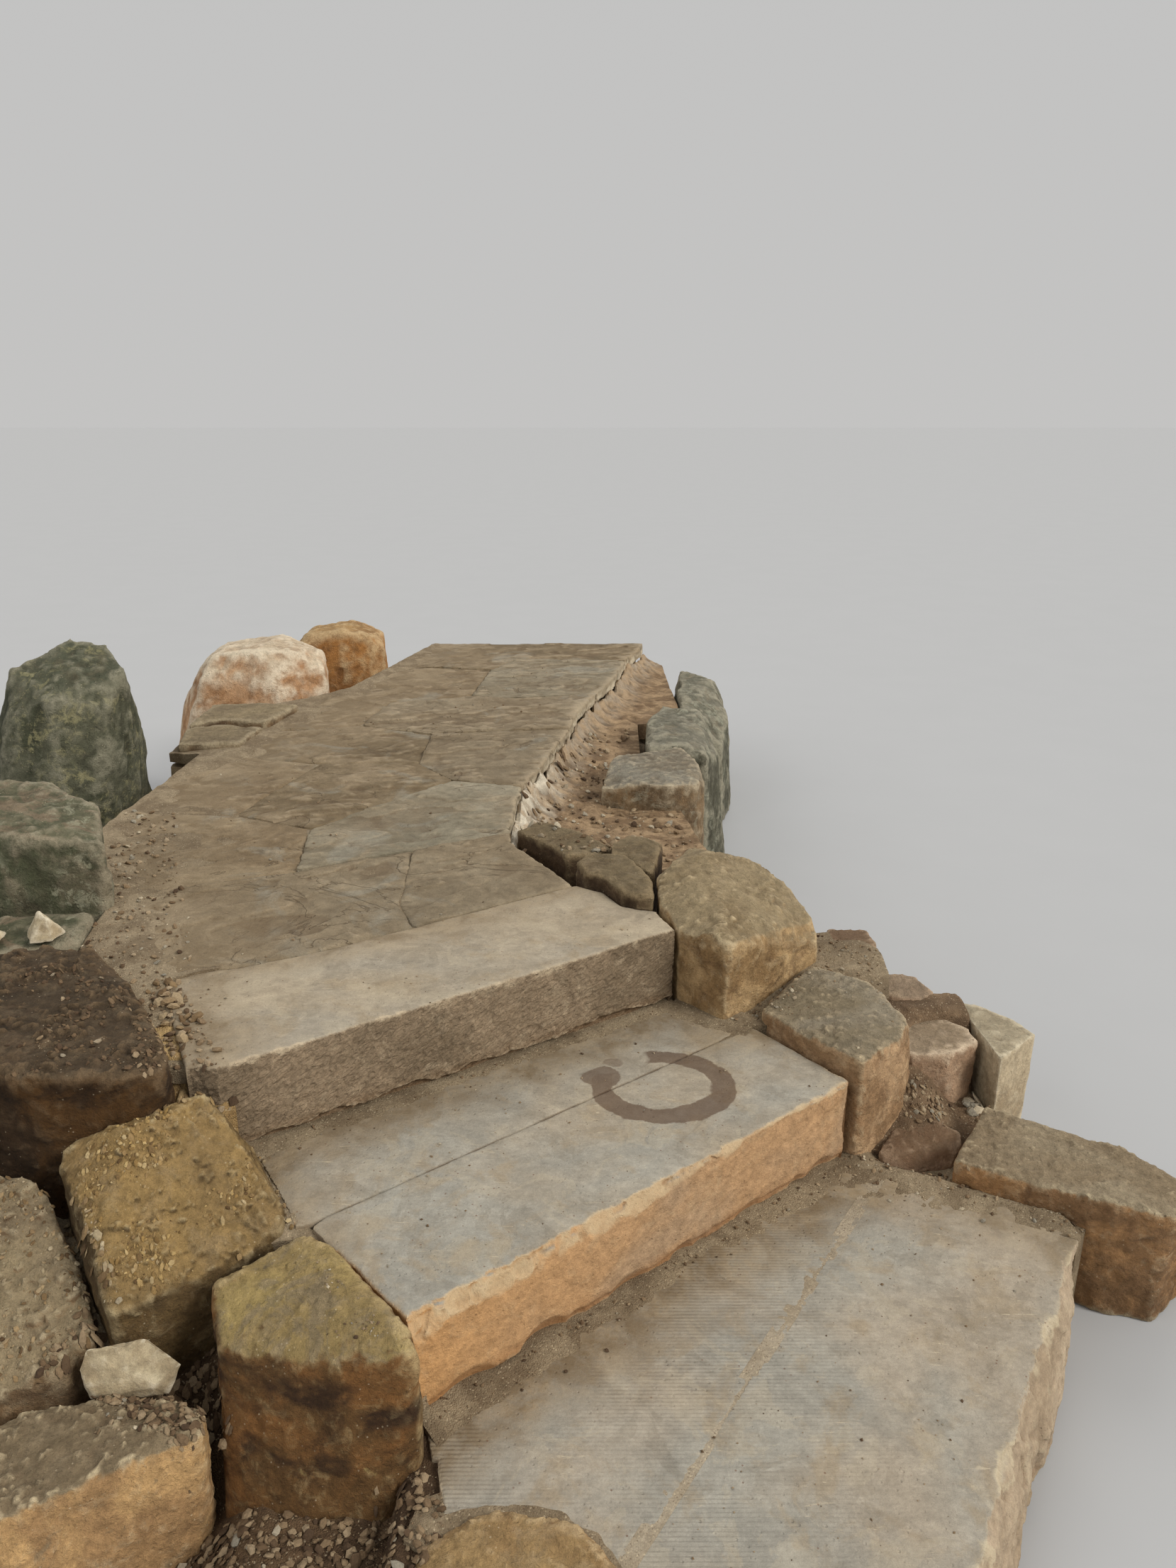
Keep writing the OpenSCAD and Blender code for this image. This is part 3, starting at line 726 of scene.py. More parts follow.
def rubble(name):
    """Rubble in mortar. Attributes: cell, joint, hollow_shade (painted shade in hollows), dust, mort."""
    k = Mat(name)
    co = k.co
    mid = k.noise(co, 12.0, 7, 0.66, 0.6)
    mot = k.noise(co, 46.0, 6, 0.7)
    stone = k.ramp(k.attr("cell"), [(0.0, lin(120, 98, 72)), (0.25, lin(156, 132, 98)), (0.45, lin(132, 120, 100)),
                                    (0.62, lin(150, 112, 76)), (0.8, lin(110, 94, 74)), (1.0, lin(166, 150, 122))])
    stone = k.shade(stone, k.span(mid, 0.25, 0.75, 0.8, 1.18))
    mort = k.mix(k.span(mid, 0.35, 0.65), lin(172, 158, 134), lin(138, 120, 94))
    col = k.mix(k.attr("joint"), stone, mort)
    col = k.mix(k.attr("dust"), col, k.mix(k.span(mid, 0.4, 0.6), lin(156, 132, 102), lin(116, 94, 70)))
    col = k.mix(k.times(k.attr("mort"), k.span(mid, 0.42, 0.58, 0.3, 1.0)), col, lin(204, 194, 174))
    # painted shade in hollows and creases
    col = k.mix(k.times(k.attr("hollow_shade"), 0.65), col, lin(72, 56, 42))
    col = k.shade(col, k.span(mot, 0.22, 0.78, 0.76, 1.22))
    col = speckle(k, co, col, 0.17)
    h = k.math("ADD", mot, k.times(k.noise(co, 190.0, 4, 0.65), 0.6))
    nrm = k.bump(h, 0.0065)
    return k.finish(col, 0.97, nrm)


def sand(name, a, b, grit=1.0):
    k = Mat(name)
    co = k.co
    mid = k.noise(co, 9.0, 6, 0.62, 0.6)
    mot = k.noise(co, 60.0, 5, 0.7)
    cell = k.voronoi(co, 380.0, out="Color")
    sepc = k.n("ShaderNodeSeparateColor")
    k.put(sepc.inputs[0], cell)
    col = k.mix(k.span(mid, 0.38, 0.62), lin(*a), lin(*b))
    col = k.shade(col, k.span(sepc.outputs[0], 0, 1, 0.84, 1.13, smooth=False))
    col = k.shade(col, k.span(mot, 0.2, 0.8, 0.84, 1.13))
    col = k.mix(k.times(k.span(sepc.outputs[1], 0.95, 0.98), 0.4), col, lin(200, 184, 154))
    col = k.mix(k.times(k.span(sepc.outputs[2], 0.93, 0.97), 0.5), col, lin(84, 66, 48))
    h = k.math("ADD", k.times(k.voronoi(co, 380.0), -0.5), mot)
    nrm = k.bump(h, 0.0028 * grit)
    return k.finish(col, 0.97, nrm)


def gravel_mat(name):
    k = Mat(name)
    c = k.ramp(k.attr("tone"), [(0.0, lin(74, 58, 44)), (0.2, lin(108, 88, 66)), (0.45, lin(136, 116, 90)),
                                (0.68, lin(156, 138, 112)), (0.85, lin(134, 128, 114)), (1.0, lin(190, 176, 150))])
    w = k.ramp(k.attr("tone"), [(0.0, lin(96, 74, 44)), (0.5, lin(150, 122, 74)), (1.0, lin(182, 156, 104))])
    c = k.mix(k.attr("warm"), c, w)
    mot = k.noise(k.co, 240.0, 5, 0.68)
    c = k.shade(c, k.span(mot, 0.2, 0.8, 0.74, 1.2))
    nrm = k.bump(mot, 0.0018)
    return k.finish(c, 0.95, nrm)


# ------------------------------------------------------------------ finishing a piece
PIECES = []


def done(ob, node, mat, sharp=38):
    me = ob.data
    me.materials.clear()
    me.materials.append(mat)
    me.polygons.foreach_set("use_smooth", np.ones(len(me.polygons), bool))
    if sharp:
        me.set_sharp_from_angle(angle=math.radians(sharp))
    me.update()
    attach(ob, "root")
    if node:
        names = [node] if isinstance(node, str) else node
        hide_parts(*names)
    PIECES.append(ob)
    return ob


def common_attributes(ob, scale=0.0022, rounds=5):
    me = ob.data
    c = cavity(me, rounds)
    # hollow_shade: painted shade in hollows and creases; the deeper a point lies under its surroundings, the darker it
    # is
    attribute(me, "hollow_shade", np.clip(c / scale - 0.15, 0, 1) * 0.85)
    attribute(me, "edge", np.clip(-c / scale - 0.35, 0, 1) * 0.9)
    return c


# ------------------------------------------------------------------ the cut blocks
def block(node, voxel, target, mat, seed, fronts, relief=(0.006, 0.09, 0.0028, 0.034, 0.0012), arris=(26, 0.003, 0.009),
          band=None, dust=None, extra=None, deep=(), push=0.003, heel=0.0, joint_wear=1.0, arris_r=(0.02, 0.08),
          joint_shade=1.0):
    """A sawn block. fronts: plan edges (start, end, strength) in mm whose face is split stone."""
    ob = cad_copy(node, node + "_look")
    remesh(ob, voxel)
    me = ob.data
    p = coords(me)
    lo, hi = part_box(node)
    z0, z1 = lo[2], hi[2]
    r = np.random.default_rng(seed)
    sa, sb, sn = outline(node)
    d_side, outn, idx = side(node, p)
    w_seg = np.zeros(len(sa))
    for (a, b, w) in fronts:
        a2, b2 = at(*a)[:2], at(*b)[:2]
        t = (b2 - a2) / np.linalg.norm(b2 - a2)
        n2 = np.array([t[1], -t[0]])
        for k in range(len(sa)):
            m = (sa[k] + sb[k]) / 2 - a2
            if abs(m @ n2) < 0.006 and -0.01 < m @ t < np.linalg.norm(b2 - a2) + 0.01 and sn[k] @ n2 > 0.9:
                w_seg[k] = w
    front = w_seg[idx]
    dz = z1 - p[:, 2]
    w_side = step(0.014, 0.002, d_side)
    w_top = step(0.010, 0.001, dz)
    # split faces: shell-shaped hollows at two sizes over a slow swell
    A1, L1, A2, L2, A3 = relief
    m = np.flatnonzero((front > 0) & (w_side > 0))
    q = warp(p[m], 0.06, 0.014, seed)
    ins = A1 * (0.35 + facets(q / L1, seed + 1)) + A2 * (0.35 + facets(q / L2, seed + 2, 1.0, 0.7, 18.0))
    ins += 0.003 * fbm(p[m] / 0.25, 2, seed + 3) + A3 * fbm(p[m] / 0.011, 3, seed + 4, 0.65)
    if heel:
        # the bottom edge is broken back, more in some places than in others
        zz = p[m, 2] - z0
        up = 0.012 + 0.030 * np.clip(fbm(p[m] * np.array([1, 1, 0.0]) / 0.11, 3, seed + 6) + 0.25, 0, 1)
        ins += heel * step(1.0, 0.45, zz / up)
    ins = np.maximum(ins + 0.001, -0.0015)
    p[m] -= outn[m] * (w_side[m] * front[m] * ins)[:, None]
    # plain joint faces sit a little proud, so that joints stay narrow
    j = np.flatnonzero((front == 0) & (w_side > 0))
    p[j] += outn[j] * (w_side[j] * (push + 0.0016 * fbm(p[j] / 0.05, 3, seed + 14)))[:, None]
    # tread: a slight waviness, worn towards the edges
    tm = np.flatnonzero(w_top > 0)
    pt = p[tm]
    p[tm, 2] -= w_top[tm] * (0.0012 * (1 + fbm(pt / 0.15, 3, seed + 7)) + 0.0006 * fbm(pt / 0.025, 3, seed + 8))
    wear = np.exp(-d_side[tm] / 0.009) * w_top[tm] * np.where(front[tm] > 0, 1.0, joint_wear)
    p[tm, 2] -= wear * (0.0014 + 0.0035 * np.clip(fbm(pt / 0.06, 3, seed + 9) + 0.1, 0, 1))
    area = (hi[0] - lo[0]) * (hi[1] - lo[1])
    for _ in range(int(26 * area)):
        R = r.uniform(0.012, 0.09)
        dp = r.uniform(0.0005, 0.0014)
        scoop(p, np.array([r.uniform(lo[0], hi[0]), r.uniform(lo[1], hi[1]), z1 - 0.0012 + R - dp]), R)
    scars = []
    rag = ragged_field(p)
    for (a, b, w) in fronts:
        a3, b3 = at(*a), at(*b)
        t = b3 - a3
        ln = np.linalg.norm(t)
        t /= ln
        n3 = np.array([t[1], -t[0], 0.0])
        for _ in range(int(arris[0] * ln * w)):
            s = r.random() * ln
            R = r.uniform(*arris_r)
            dp = arris[1] + (arris[2] - arris[1]) * r.random() ** 2
            el = r.uniform(0.1, 0.8)
            c = a3 + t * s + (n3 * math.cos(el) + np.array([0, 0, 1.0]) * math.sin(el)) * (R - dp)
            c[2] += z1
            scoop(p, c, R, scars, rag)
    for (x, d, z, R, dp, el, dirx, diry) in deep:
        n3 = np.array([dirx, diry, 0.0]) / math.hypot(dirx, diry)
        v = n3 * math.cos(el) + np.array([0, 0, 1.0]) * math.sin(el)
        scoop(p, at(x, d, z) + v * (R - dp), R, scars, rag)
    if band is not None:
        # rough sloping band of scars under the arris, widest at its start
        (a, b, w0, w1) = band
        a3, b3 = at(*a), at(*b)
        t = b3 - a3
        ln = np.linalg.norm(t)
        t /= ln
        n3 = np.array([t[1], -t[0], 0.0])
        s = np.clip(((p - a3) @ t) / ln, 0, 1)
        sl = np.stack([s * ln, s * 0, s * 0], 1)
        wd = (w0 + (w1 - w0) * s ** 0.8) / 1000.0 * (1 + 0.75 * fbm(sl / 0.10, 2, seed + 20) + 0.5 * fbm(sl / 0.028, 2, seed + 22))
        wd = np.maximum(wd, 0.003)
        o = (p - a3) @ n3
        pull = 0.5
        nl = math.hypot(1.0, pull)
        cut = (o + pull * (wd - dz)) / nl
        chunk = warp(p, 0.03, 0.01, 8) / np.array([0.040, 0.040, 0.024])
        cut -= 0.0052 * facets(chunk, seed + 21, 0.9, 1.0, 26.0) + 0.0016 * fbm(p / 0.010, 3, seed + 23, 0.6)
        over = np.maximum(cut, 0) * (np.abs(o) < 0.06) * (dz < wd * 1.35)
        v = (n3 + np.array([0, 0, pull])) / nl
        p -= np.outer(over, v)
        for _ in range(int(8 * ln)):
            s1 = r.random() ** 1.25 * ln
            w1m = (w0 + (w1 - w0) * (s1 / ln) ** 0.8) / 1000.0
            if w1m < 0.010:
                continue
            R = r.uniform(0.03, 0.09)
            dp = r.uniform(0.003, 0.007)
            dd = r.uniform(0.1, 1.05) * w1m
            c = a3 + t * s1 + n3 * (-pull * (w1m - dd)) + v * (R - dp)
            c[2] += z1 - dd
            scoop(p, c, R, scars, rag)
    if extra is not None:
        extra(p, z0, z1)
    p[:, 2] = np.maximum(p[:, 2], z0)
    set_coords(me, p)
    thin(ob, target)
    me = ob.data
    c = common_attributes(ob, 0.0020, 4)
    p = coords(me)
    n = normals(me)
    dz = z1 - p[:, 2]
    d2, _, i2 = side(node, p)
    joint = (w_seg[i2] == 0) * step(0.022, 0.010, d2)
    attribute(me, "edge", np.clip(-c / 0.0020 - 0.35, 0, 1) * 0.8 * (1 - joint))
    # painted shade inside the joints: the joint faces darken from about 2 mm below the top, kept in hollow_shade beside
    # the painted shade of the hollows
    dark = joint * step(0.0018, 0.0060, dz) * joint_shade * step(-0.22, 0.05, fbm(p / 0.09, 3, 207))
    attribute(me, "hollow_shade", np.maximum(np.clip(c / 0.0020 - 0.15, 0, 1) * 0.6 * (1 - 0.5 * joint), dark))
    topm = step(0.6, 0.88, n[:, 2]) * step(0.016, 0.008, dz)
    topm = np.maximum(topm, joint * step(0.030, 0.020, dz))
    attribute(me, "top", topm)
    # foot: a darker, browner band over the riser's lowest 45 mm, painted shade with some dust
    fz = (p[:, 2] - z0) + 0.012 * fbm(p / 0.06, 3, seed + 30)
    attribute(me, "foot", step(0.045, 0.0, fz) * (1 - topm))
    attribute(me, "chip", scarred(p, scars) * (0.35 + 0.65 * step(0.05, 0.02, dz)))
    if band is not None:
        (a, b, w0, w1) = band
        s = np.clip(((p - at(*a)) @ ((at(*b) - at(*a)) / np.linalg.norm(at(*b) - at(*a)))) / np.linalg.norm(at(*b) - at(*a)), 0, 1)
        wd = (w0 + (w1 - w0) * s ** 0.8) / 1000.0
        torn = step(-0.25, 0.2, fbm(p / 0.05, 3, seed + 31) + 0.25)
        cream = step(0.05, 0.30, fbm(p / 0.035, 3, seed + 33)) * step(0.030, 0.012, dz)
        attribute(me, "band", step(wd * 1.35, wd * 0.8, dz) * step(0.05, 0.3, n[:, 2]) * (1 - topm)
                  * (0.50 * torn + 0.45 * cream))
    else:
        torn = step(0.12, 0.40, fbm(p / 0.045, 3, seed + 31))
        attribute(me, "band", step(0.024, 0.008, dz + 0.010 * fbm(p / 0.03, 3, seed + 32)) * (1 - topm) * torn * 0.7)
    du = np.zeros(len(p)) if dust is None else dust(p)
    attribute(me, "dust", np.clip(du, 0, 1) * topm)
    return done(ob, node, mat)


# ------------------------------------------------------------------ boulders
def rock(node, voxel, target, mat, seed, soft=3, chips=5, chip=(0.0006, 0.0034), chip_r=(0.05, 0.16), scars=0,
         scar=(0.002, 0.004), big=0.0045, cells=(0.0065, 0.19, 0.0034, 0.052), rough=0.0024, fine=0.0007, weather=0.5,
         bumps=0.0030, pits=0.0, layers=0.0, flow=(0, 0, 1), extra=None, grow=0.003, low=0.2, sharp=40,
         mark=None):
    ob = cad_copy(node, node + "_look")
    remesh(ob, voxel)
    me = ob.data
    smooth(me, max(1, int(round(soft / COARSE ** 2))), 0.5)
    r = np.random.default_rng(seed)
    p = coords(me)
    lo, hi = np.array(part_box(node)[0]), np.array(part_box(node)[1])
    n = normals(me)
    p += n * grow
    # swell and broken planes first, then the chips, so that these stay crisp
    up = step(0.55, 0.92, n[:, 2]) * weather
    q = warp(p, 0.09, 0.022, seed)
    d = big * fbm(p / 0.24, 2, seed + 1)
    d += cells[0] * facets(q / cells[1], seed + 2, 0.9, 0.4) * (1 - 0.6 * up)
    d += cells[2] * facets(q / cells[3], seed + 3, 1.0, 0.6, 18.0) * (1 - 0.4 * up)
    p += n * d[:, None]
    rag = ragged_field(p)
    edges = [e for e in convex_edges(node, 40) if max(e[0][2], e[1][2]) > lo[2] + 0.03]
    ln = np.array([np.linalg.norm(b - a) for a, b, _ in edges])
    total = ln.sum()
    for _ in range(int(chips * total)):
        a, b, v = edges[r.choice(len(edges), p=ln / total)]
        c = a + (b - a) * r.random()
        v = v + 0.12 * r.normal(size=3)
        v /= np.linalg.norm(v)
        R = min(r.uniform(*chip_r), 0.6 * float((hi - lo).min()))
        dp = chip[0] + (chip[1] - chip[0]) * r.random() ** 2
        scoop(p, c + v * (R - dp), R, None, rag, 1.5 * dp + 0.001)
    for _ in range(scars):
        k = r.integers(len(p))
        R = r.uniform(0.15, 0.5)
        dp = r.uniform(*scar)
        scoop(p, p[k] + n[k] * (R - dp), R, None, rag)
    set_coords(me, p)
    n = normals(me)
    up = step(0.4, 0.85, n[:, 2])
    # on a coarse mesh the grain of the surface is coarser too
    octs = 3 if voxel < 0.007 else 2
    d = rough * fbm(p / max(0.018, 4.0 * voxel), octs, seed + 5, 0.6) * (1 - 0.3 * up)
    if bumps:
        # clods and grit stuck to the top
        g = fbm(p / max(0.020, 4.0 * voxel), octs, seed + 7, 0.6)
        d += bumps * up * (0.5 * g + step(0.02, 0.42, g + 0.55 * fbm(p / 0.10, 2, seed + 8)) - 0.2)
    if voxel < 0.006:
        d += fine * perlin(p / 0.010, seed + 6)
    if layers:
        f = np.array(flow, float) / np.linalg.norm(flow)
        w = p @ f + 0.012 * fbm(p / 0.15, 3, seed + 9)
        d += layers * perlin(np.stack([w / 0.013, p[:, 0] * 1.5, p[:, 1] * 1.5], 1), seed + 10) * (1 - up)
    if pits:
        f1, _, cl = worley(p / 0.024, seed + 11)
        d -= pits * step(0.42, 0.1, f1) * (cl > 0.5)
    p += n * d[:, None]
    if extra is not None:
        extra(p, n)
    p = np.clip(p, lo - 0.012, hi + 0.010)
    p[:, 2] = np.maximum(p[:, 2], lo[2])
    set_coords(me, p)
    thin(ob, target)
    me = ob.data
    common_attributes(ob, 0.0034, 4)
    p, n = coords(me), normals(me)
    attribute(me, "mark", np.zeros(len(p)) if mark is None else np.clip(mark(p, n), 0, 1))
    attribute(me, "up", np.clip(n[:, 2], 0, 1))
    # low: painted shade near the ground, darker towards the bottom
    attribute(me, "low", step(low, 0.0, p[:, 2] - lo[2]))
    return done(ob, node, mat, sharp)


# ------------------------------------------------------------------ landing flags
RIGHT_EDGE = [(-34, 2578), (-50, 2610), (-80, 2675), (-210, 2870), (-200, 3330), (-160, 3475), (-105, 3775),
              (-60, 3980), (-35, 4200), (40, 4495), (115, 4730), (175, 5095), (255, 5330), (275, 5450)]
LEFT_EDGE = [(-890, 2110), (-1000, 2250), (-1080, 2450), (-1180, 2650), (-1290, 2800), (-1330, 3100), (-1325, 3365),
             (-1180, 3650), (-1145, 3935), (-1060, 4355), (-960, 4540), (-840, 4985), (-725, 5450)]


def flagstone(node, voxel, target, mat, seed, turn=0.5, lift=0.0):
    ob = cad_copy(node, node + "_look")
    remesh(ob, voxel)
    me = ob.data
    p = coords(me)
    lo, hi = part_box(node)
    z0, z1 = lo[2], hi[2]
    d_side, outn, idx = side(node, p)
    dr, _ = to_line(p[:, 0], p[:, 1], RIGHT_EDGE)
    free = step(0.045, 0.02, dr)
    dz = z1 - p[:, 2]
    w_side = step(0.014, 0.002, d_side)
    w_top = step(0.012, 0.001, dz)
    ca, sa = math.cos(turn), math.sin(turn)
    q = np.stack([(p[:, 0] * ca + p[:, 1] * sa), (-p[:, 0] * sa + p[:, 1] * ca), p[:, 2] * 0], 1)
    w = fbm(np.stack([q[:, 0] / 0.34, (q[:, 1] + 0.05 * fbm(p / 0.30, 3, seed + 1)) / 0.16, q[:, 2]], 1), 4, seed + 2, 0.5)
    lay = w * 3.0
    ter = np.floor(lay) + step(0.43, 0.57, lay - np.floor(lay))
    h = 0.0033 * ter + 0.0010 * w + 0.0012 * fbm(p / 0.035, 3, seed + 3, 0.55)
    h += 0.0030 * facets(warp(p, 0.1, 0.03, seed) / 0.16, seed + 12, 0.9, 0.5)
    p[:, 2] += w_top * np.maximum(h - 0.0008 + lift, -0.0042)
    grow = 0.0044 + 0.0026 * fbm(p / 0.05, 3, seed + 4)
    shrink = 0.003 + 0.009 * facets(warp(p, 0.06, 0.02, seed) / 0.07, seed + 13) + 0.003 * fbm(p / 0.02, 3, seed + 5)
    p += outn * (w_side * (grow * (1 - free) - np.maximum(shrink, -0.001) * free))[:, None]
    wear = np.exp(-d_side / 0.009) * w_top
    p[:, 2] -= wear * (0.0008 + 0.0026 * np.clip(fbm(p / 0.05, 3, seed + 6) + 0.1, 0, 1)) * (1 + 1.5 * free)
    p[:, 2] = np.clip(p[:, 2], z0, z1 + 0.008)
    set_coords(me, p)
    thin(ob, target)
    me = ob.data
    c = common_attributes(ob, 0.0020, 4)
    p, n = coords(me), normals(me)
    d2, _, _ = side(node, p)
    dr, _ = to_line(p[:, 0], p[:, 1], RIGHT_EDGE)
    rim = step(0.022, 0.010, d2) * (1 - step(0.045, 0.02, dr))
    attribute(me, "edge", np.clip(-c / 0.0020 - 0.35, 0, 1) * 0.9 * (1 - rim))
    dl, _ = to_line(p[:, 0], p[:, 1], LEFT_EDGE)
    nz = fbm(p / 0.2, 4, 900) * 0.10
    attribute(me, "dust", np.clip(step(0.36, 0.05, dl + nz) * 0.85, 0, 1) * step(0.5, 0.9, n[:, 2]))
    attribute(me, "mort", step(0.010, 0.028, z1 - p[:, 2]))
    return done(ob, node, mat)


# ------------------------------------------------------------------ beds
def bed(node, voxel, target, mat, seed, cell=0.15):
    ob = cad_copy(node, node + "_look")
    remesh(ob, voxel)
    me = ob.data
    smooth(me, 2, 0.5)
    p = coords(me)
    lo, hi = np.array(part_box(node)[0]), np.array(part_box(node)[1])
    n = normals(me)

    def cells(p):
        q = (p + 0.02 * np.stack([fbm(p / 0.12, 2, seed + k) for k in range(3)], 1)) / (np.array([1.0, 1.0, 0.62]) * cell)
        return worley(q, seed + 4, 0.85)
    f1, f2, cl = cells(p)
    gap = step(0.16, 0.03, f2 - f1)
    up = step(0.5, 0.9, n[:, 2])
    d = -0.006 - 0.012 * gap * (1 - up) + 0.010 * (cl - 0.5) * (1 - up)
    d += 0.006 * (scallop(p / 0.06, seed + 6) - 0.2) + 0.003 * fbm(p / 0.03, 3, seed + 8)
    p += n * d[:, None]
    p = np.clip(p, lo - 0.005, hi + 0.008)
    p[:, 2] = np.maximum(p[:, 2], lo[2])
    set_coords(me, p)
    thin(ob, target)
    me = ob.data
    common_attributes(ob, 0.004, 4)
    p, n = coords(me), normals(me)
    f1, f2, cl = cells(p)
    attribute(me, "cell", cl)
    attribute(me, "joint", step(0.17, 0.08, f2 - f1))
    attribute(me, "dust", step(0.45, 0.85, n[:, 2]))
    attribute(me, "mort", np.zeros(len(p)))
    return done(ob, node, mat)


# ------------------------------------------------------------------ sand and packed grit
def heightfield(name, polys, zfun, bottom, cell, target, mat, node=None, attrs=None):
    """A closed body over a plan area (mm) with a shaped top. Its rim runs into the stones beside it."""
    cell = cell * COARSE
    polys = polys if isinstance(polys[0][0], (tuple, list)) else [polys]
    pts = np.array([at(*p)[:2] for poly in polys for p in poly])
    x0, y0 = pts.min(0) - cell
    nx, ny = (np.ceil((pts.max(0) - pts.min(0)) / cell) + 2).astype(int)
    ix, iy = np.meshgrid(np.arange(nx), np.arange(ny), indexing="ij")
    cx, cy = (x0 + (ix + 0.5) * cell).ravel(), (y0 + (iy + 0.5) * cell).ravel()
    keep = np.zeros(len(cx), bool)
    for poly in polys:
        keep |= inside(cx, cy, poly)
    keep = keep.reshape(nx, ny)
    vid = -np.ones((nx + 1, ny + 1), int)
    used = np.zeros((nx + 1, ny + 1), bool)
    for a in (0, 1):
        for b in (0, 1):
            used[a:nx + a, b:ny + b] |= keep
    vid[used] = np.arange(used.sum())
    gx, gy = np.nonzero(used)
    x, y = x0 + gx * cell, y0 + gy * cell
    # the rim is drawn onto the outline, so that it doesn't run in steps
    full = np.pad(keep, 1).astype(int)
    around = full[:-1, :-1] + full[1:, :-1] + full[:-1, 1:] + full[1:, 1:]
    rim = np.flatnonzero(around[gx, gy] < 4)
    q = np.stack([x[rim], y[rim]], 1)
    best = np.full(len(rim), 9.0)
    spot = q.copy()
    for poly in polys:
        k = np.array([at(*v)[:2] for v in poly])
        for a2, b2 in zip(k, np.roll(k, -1, axis=0)):
            t2 = b2 - a2
            s = np.clip(((q - a2) @ t2) / (t2 @ t2), 0, 1)
            c2 = a2 + s[:, None] * t2
            d2 = np.linalg.norm(q - c2, axis=1)
            m = d2 < best
            best[m] = d2[m]
            spot[m] = c2[m]
    m = best < 1.3 * cell
    x[rim[m]], y[rim[m]] = spot[m, 0], spot[m, 1]
    top = zfun(x, y)
    bot = np.minimum(np.full(len(x), bottom), top - 0.004)
    nv = len(x)
    verts = np.concatenate([np.stack([x, y, top], 1), np.stack([x, y, bot], 1)])
    ci, cj = np.nonzero(keep)
    a, b, c, d = vid[ci, cj], vid[ci + 1, cj], vid[ci + 1, cj + 1], vid[ci, cj + 1]
    faces = [np.stack([a, b, c, d], 1), np.stack([d, c, b, a], 1) + nv]
    pad = np.pad(keep, 1)
    for (dx, dy, u, v) in ((0, -1, (0, 0), (1, 0)), (1, 0, (1, 0), (1, 1)), (0, 1, (1, 1), (0, 1)), (-1, 0, (0, 1), (0, 0))):
        m = keep & ~pad[1 + dx:nx + 1 + dx, 1 + dy:ny + 1 + dy]
        i, j = np.nonzero(m)
        p, q = vid[i + u[0], j + u[1]], vid[i + v[0], j + v[1]]
        faces.append(np.stack([p + nv, q + nv, q, p], 1))
    ob = build(name, verts, np.concatenate(faces))
    thin(ob, target)
    me = ob.data
    common_attributes(ob, 0.003, 3)
    p, n = coords(me), normals(me)
    for k, v in {"cell": 0.5, "joint": 0.0, "dust": 1.0, "mort": 0.0}.items():
        attribute(me, k, np.full(len(p), v))
    if attrs is not None:
        for k, v in attrs(p, n).items():
            attribute(me, k, np.clip(v, 0, 1))
    return done(ob, node, mat, 50)


def xy3(x, y):
    return np.stack([x, y, np.zeros(len(x))], 1)


# ------------------------------------------------------------------ loose grit
PHI = (1 + 5 ** 0.5) / 2
ICO = np.array([(-1, PHI, 0), (1, PHI, 0), (-1, -PHI, 0), (1, -PHI, 0), (0, -1, PHI), (0, 1, PHI), (0, -1, -PHI),
                (0, 1, -PHI), (PHI, 0, -1), (PHI, 0, 1), (-PHI, 0, -1), (-PHI, 0, 1)]) / math.sqrt(1 + PHI * PHI)
ICO_F = np.array([(0, 11, 5), (0, 5, 1), (0, 1, 7), (0, 7, 10), (0, 10, 11), (1, 5, 9), (5, 11, 4), (11, 10, 2),
                  (10, 7, 6), (7, 1, 8), (3, 9, 4), (3, 4, 2), (3, 2, 6), (3, 6, 8), (3, 8, 9), (4, 9, 5), (2, 4, 11),
                  (6, 2, 10), (8, 6, 7), (9, 8, 1)])
OCT = np.array([(1, 0, 0), (-1, 0, 0), (0, 1, 0), (0, -1, 0), (0, 0, 1), (0, 0, -1)], float)
OCT_F = np.array([(0, 2, 4), (2, 1, 4), (1, 3, 4), (3, 0, 4), (2, 0, 5), (1, 2, 5), (3, 1, 5), (0, 3, 5)])


def ground_tree(objs):
    vs, fs, base = [], [], 0
    for o in objs:
        me = o.data
        me.calc_loop_triangles()
        t = np.empty(len(me.loop_triangles) * 3, np.int32)
        me.loop_triangles.foreach_get("vertices", t)
        vs.append(coords(me))
        fs.append(t.reshape(-1, 3) + base)
        base += len(me.vertices)
    return BVHTree.FromPolygons(np.concatenate(vs).tolist(), np.concatenate(fs).tolist(), all_triangles=True)


GRAINS = {"ico": [], "oct": []}


def scatter(tree, poly, count, size, r, z=None, keep=None, tone=(0, 1), small=3.0, steep=0.35, sink=0.28, warm=0.0):
    """Drops grains of the given sizes (m) over a plan area (mm); more small ones than large."""
    pts = np.array([at(*p)[:2] for p in poly])
    lo, hi = pts.min(0), pts.max(0)
    got, tries = 0, 0
    while got < count and tries < count * 8 + 200:
        tries += 1
        x, y = r.uniform(lo[0], hi[0]), r.uniform(lo[1], hi[1])
        if not inside(np.array([x]), np.array([y]), poly)[0]:
            continue
        if keep is not None and r.random() > keep(x, y):
            continue
        hit, nn, _, _ = tree.ray_cast(Vector((x, y, 1.4)), Vector((0, 0, -1)))
        if hit is None or abs(nn.z) < steep or (z is not None and not (z[0] <= hit.z <= z[1])):
            continue
        s = size[0] + (size[1] - size[0]) * r.random() ** small
        kind = "ico" if s > 0.0075 else "oct"
        GRAINS[kind].append((hit.x, hit.y, hit.z, nn.x, nn.y, abs(nn.z), s, r.uniform(*tone), sink,
                             warm * r.uniform(0.5, 1.0)))
        got += 1


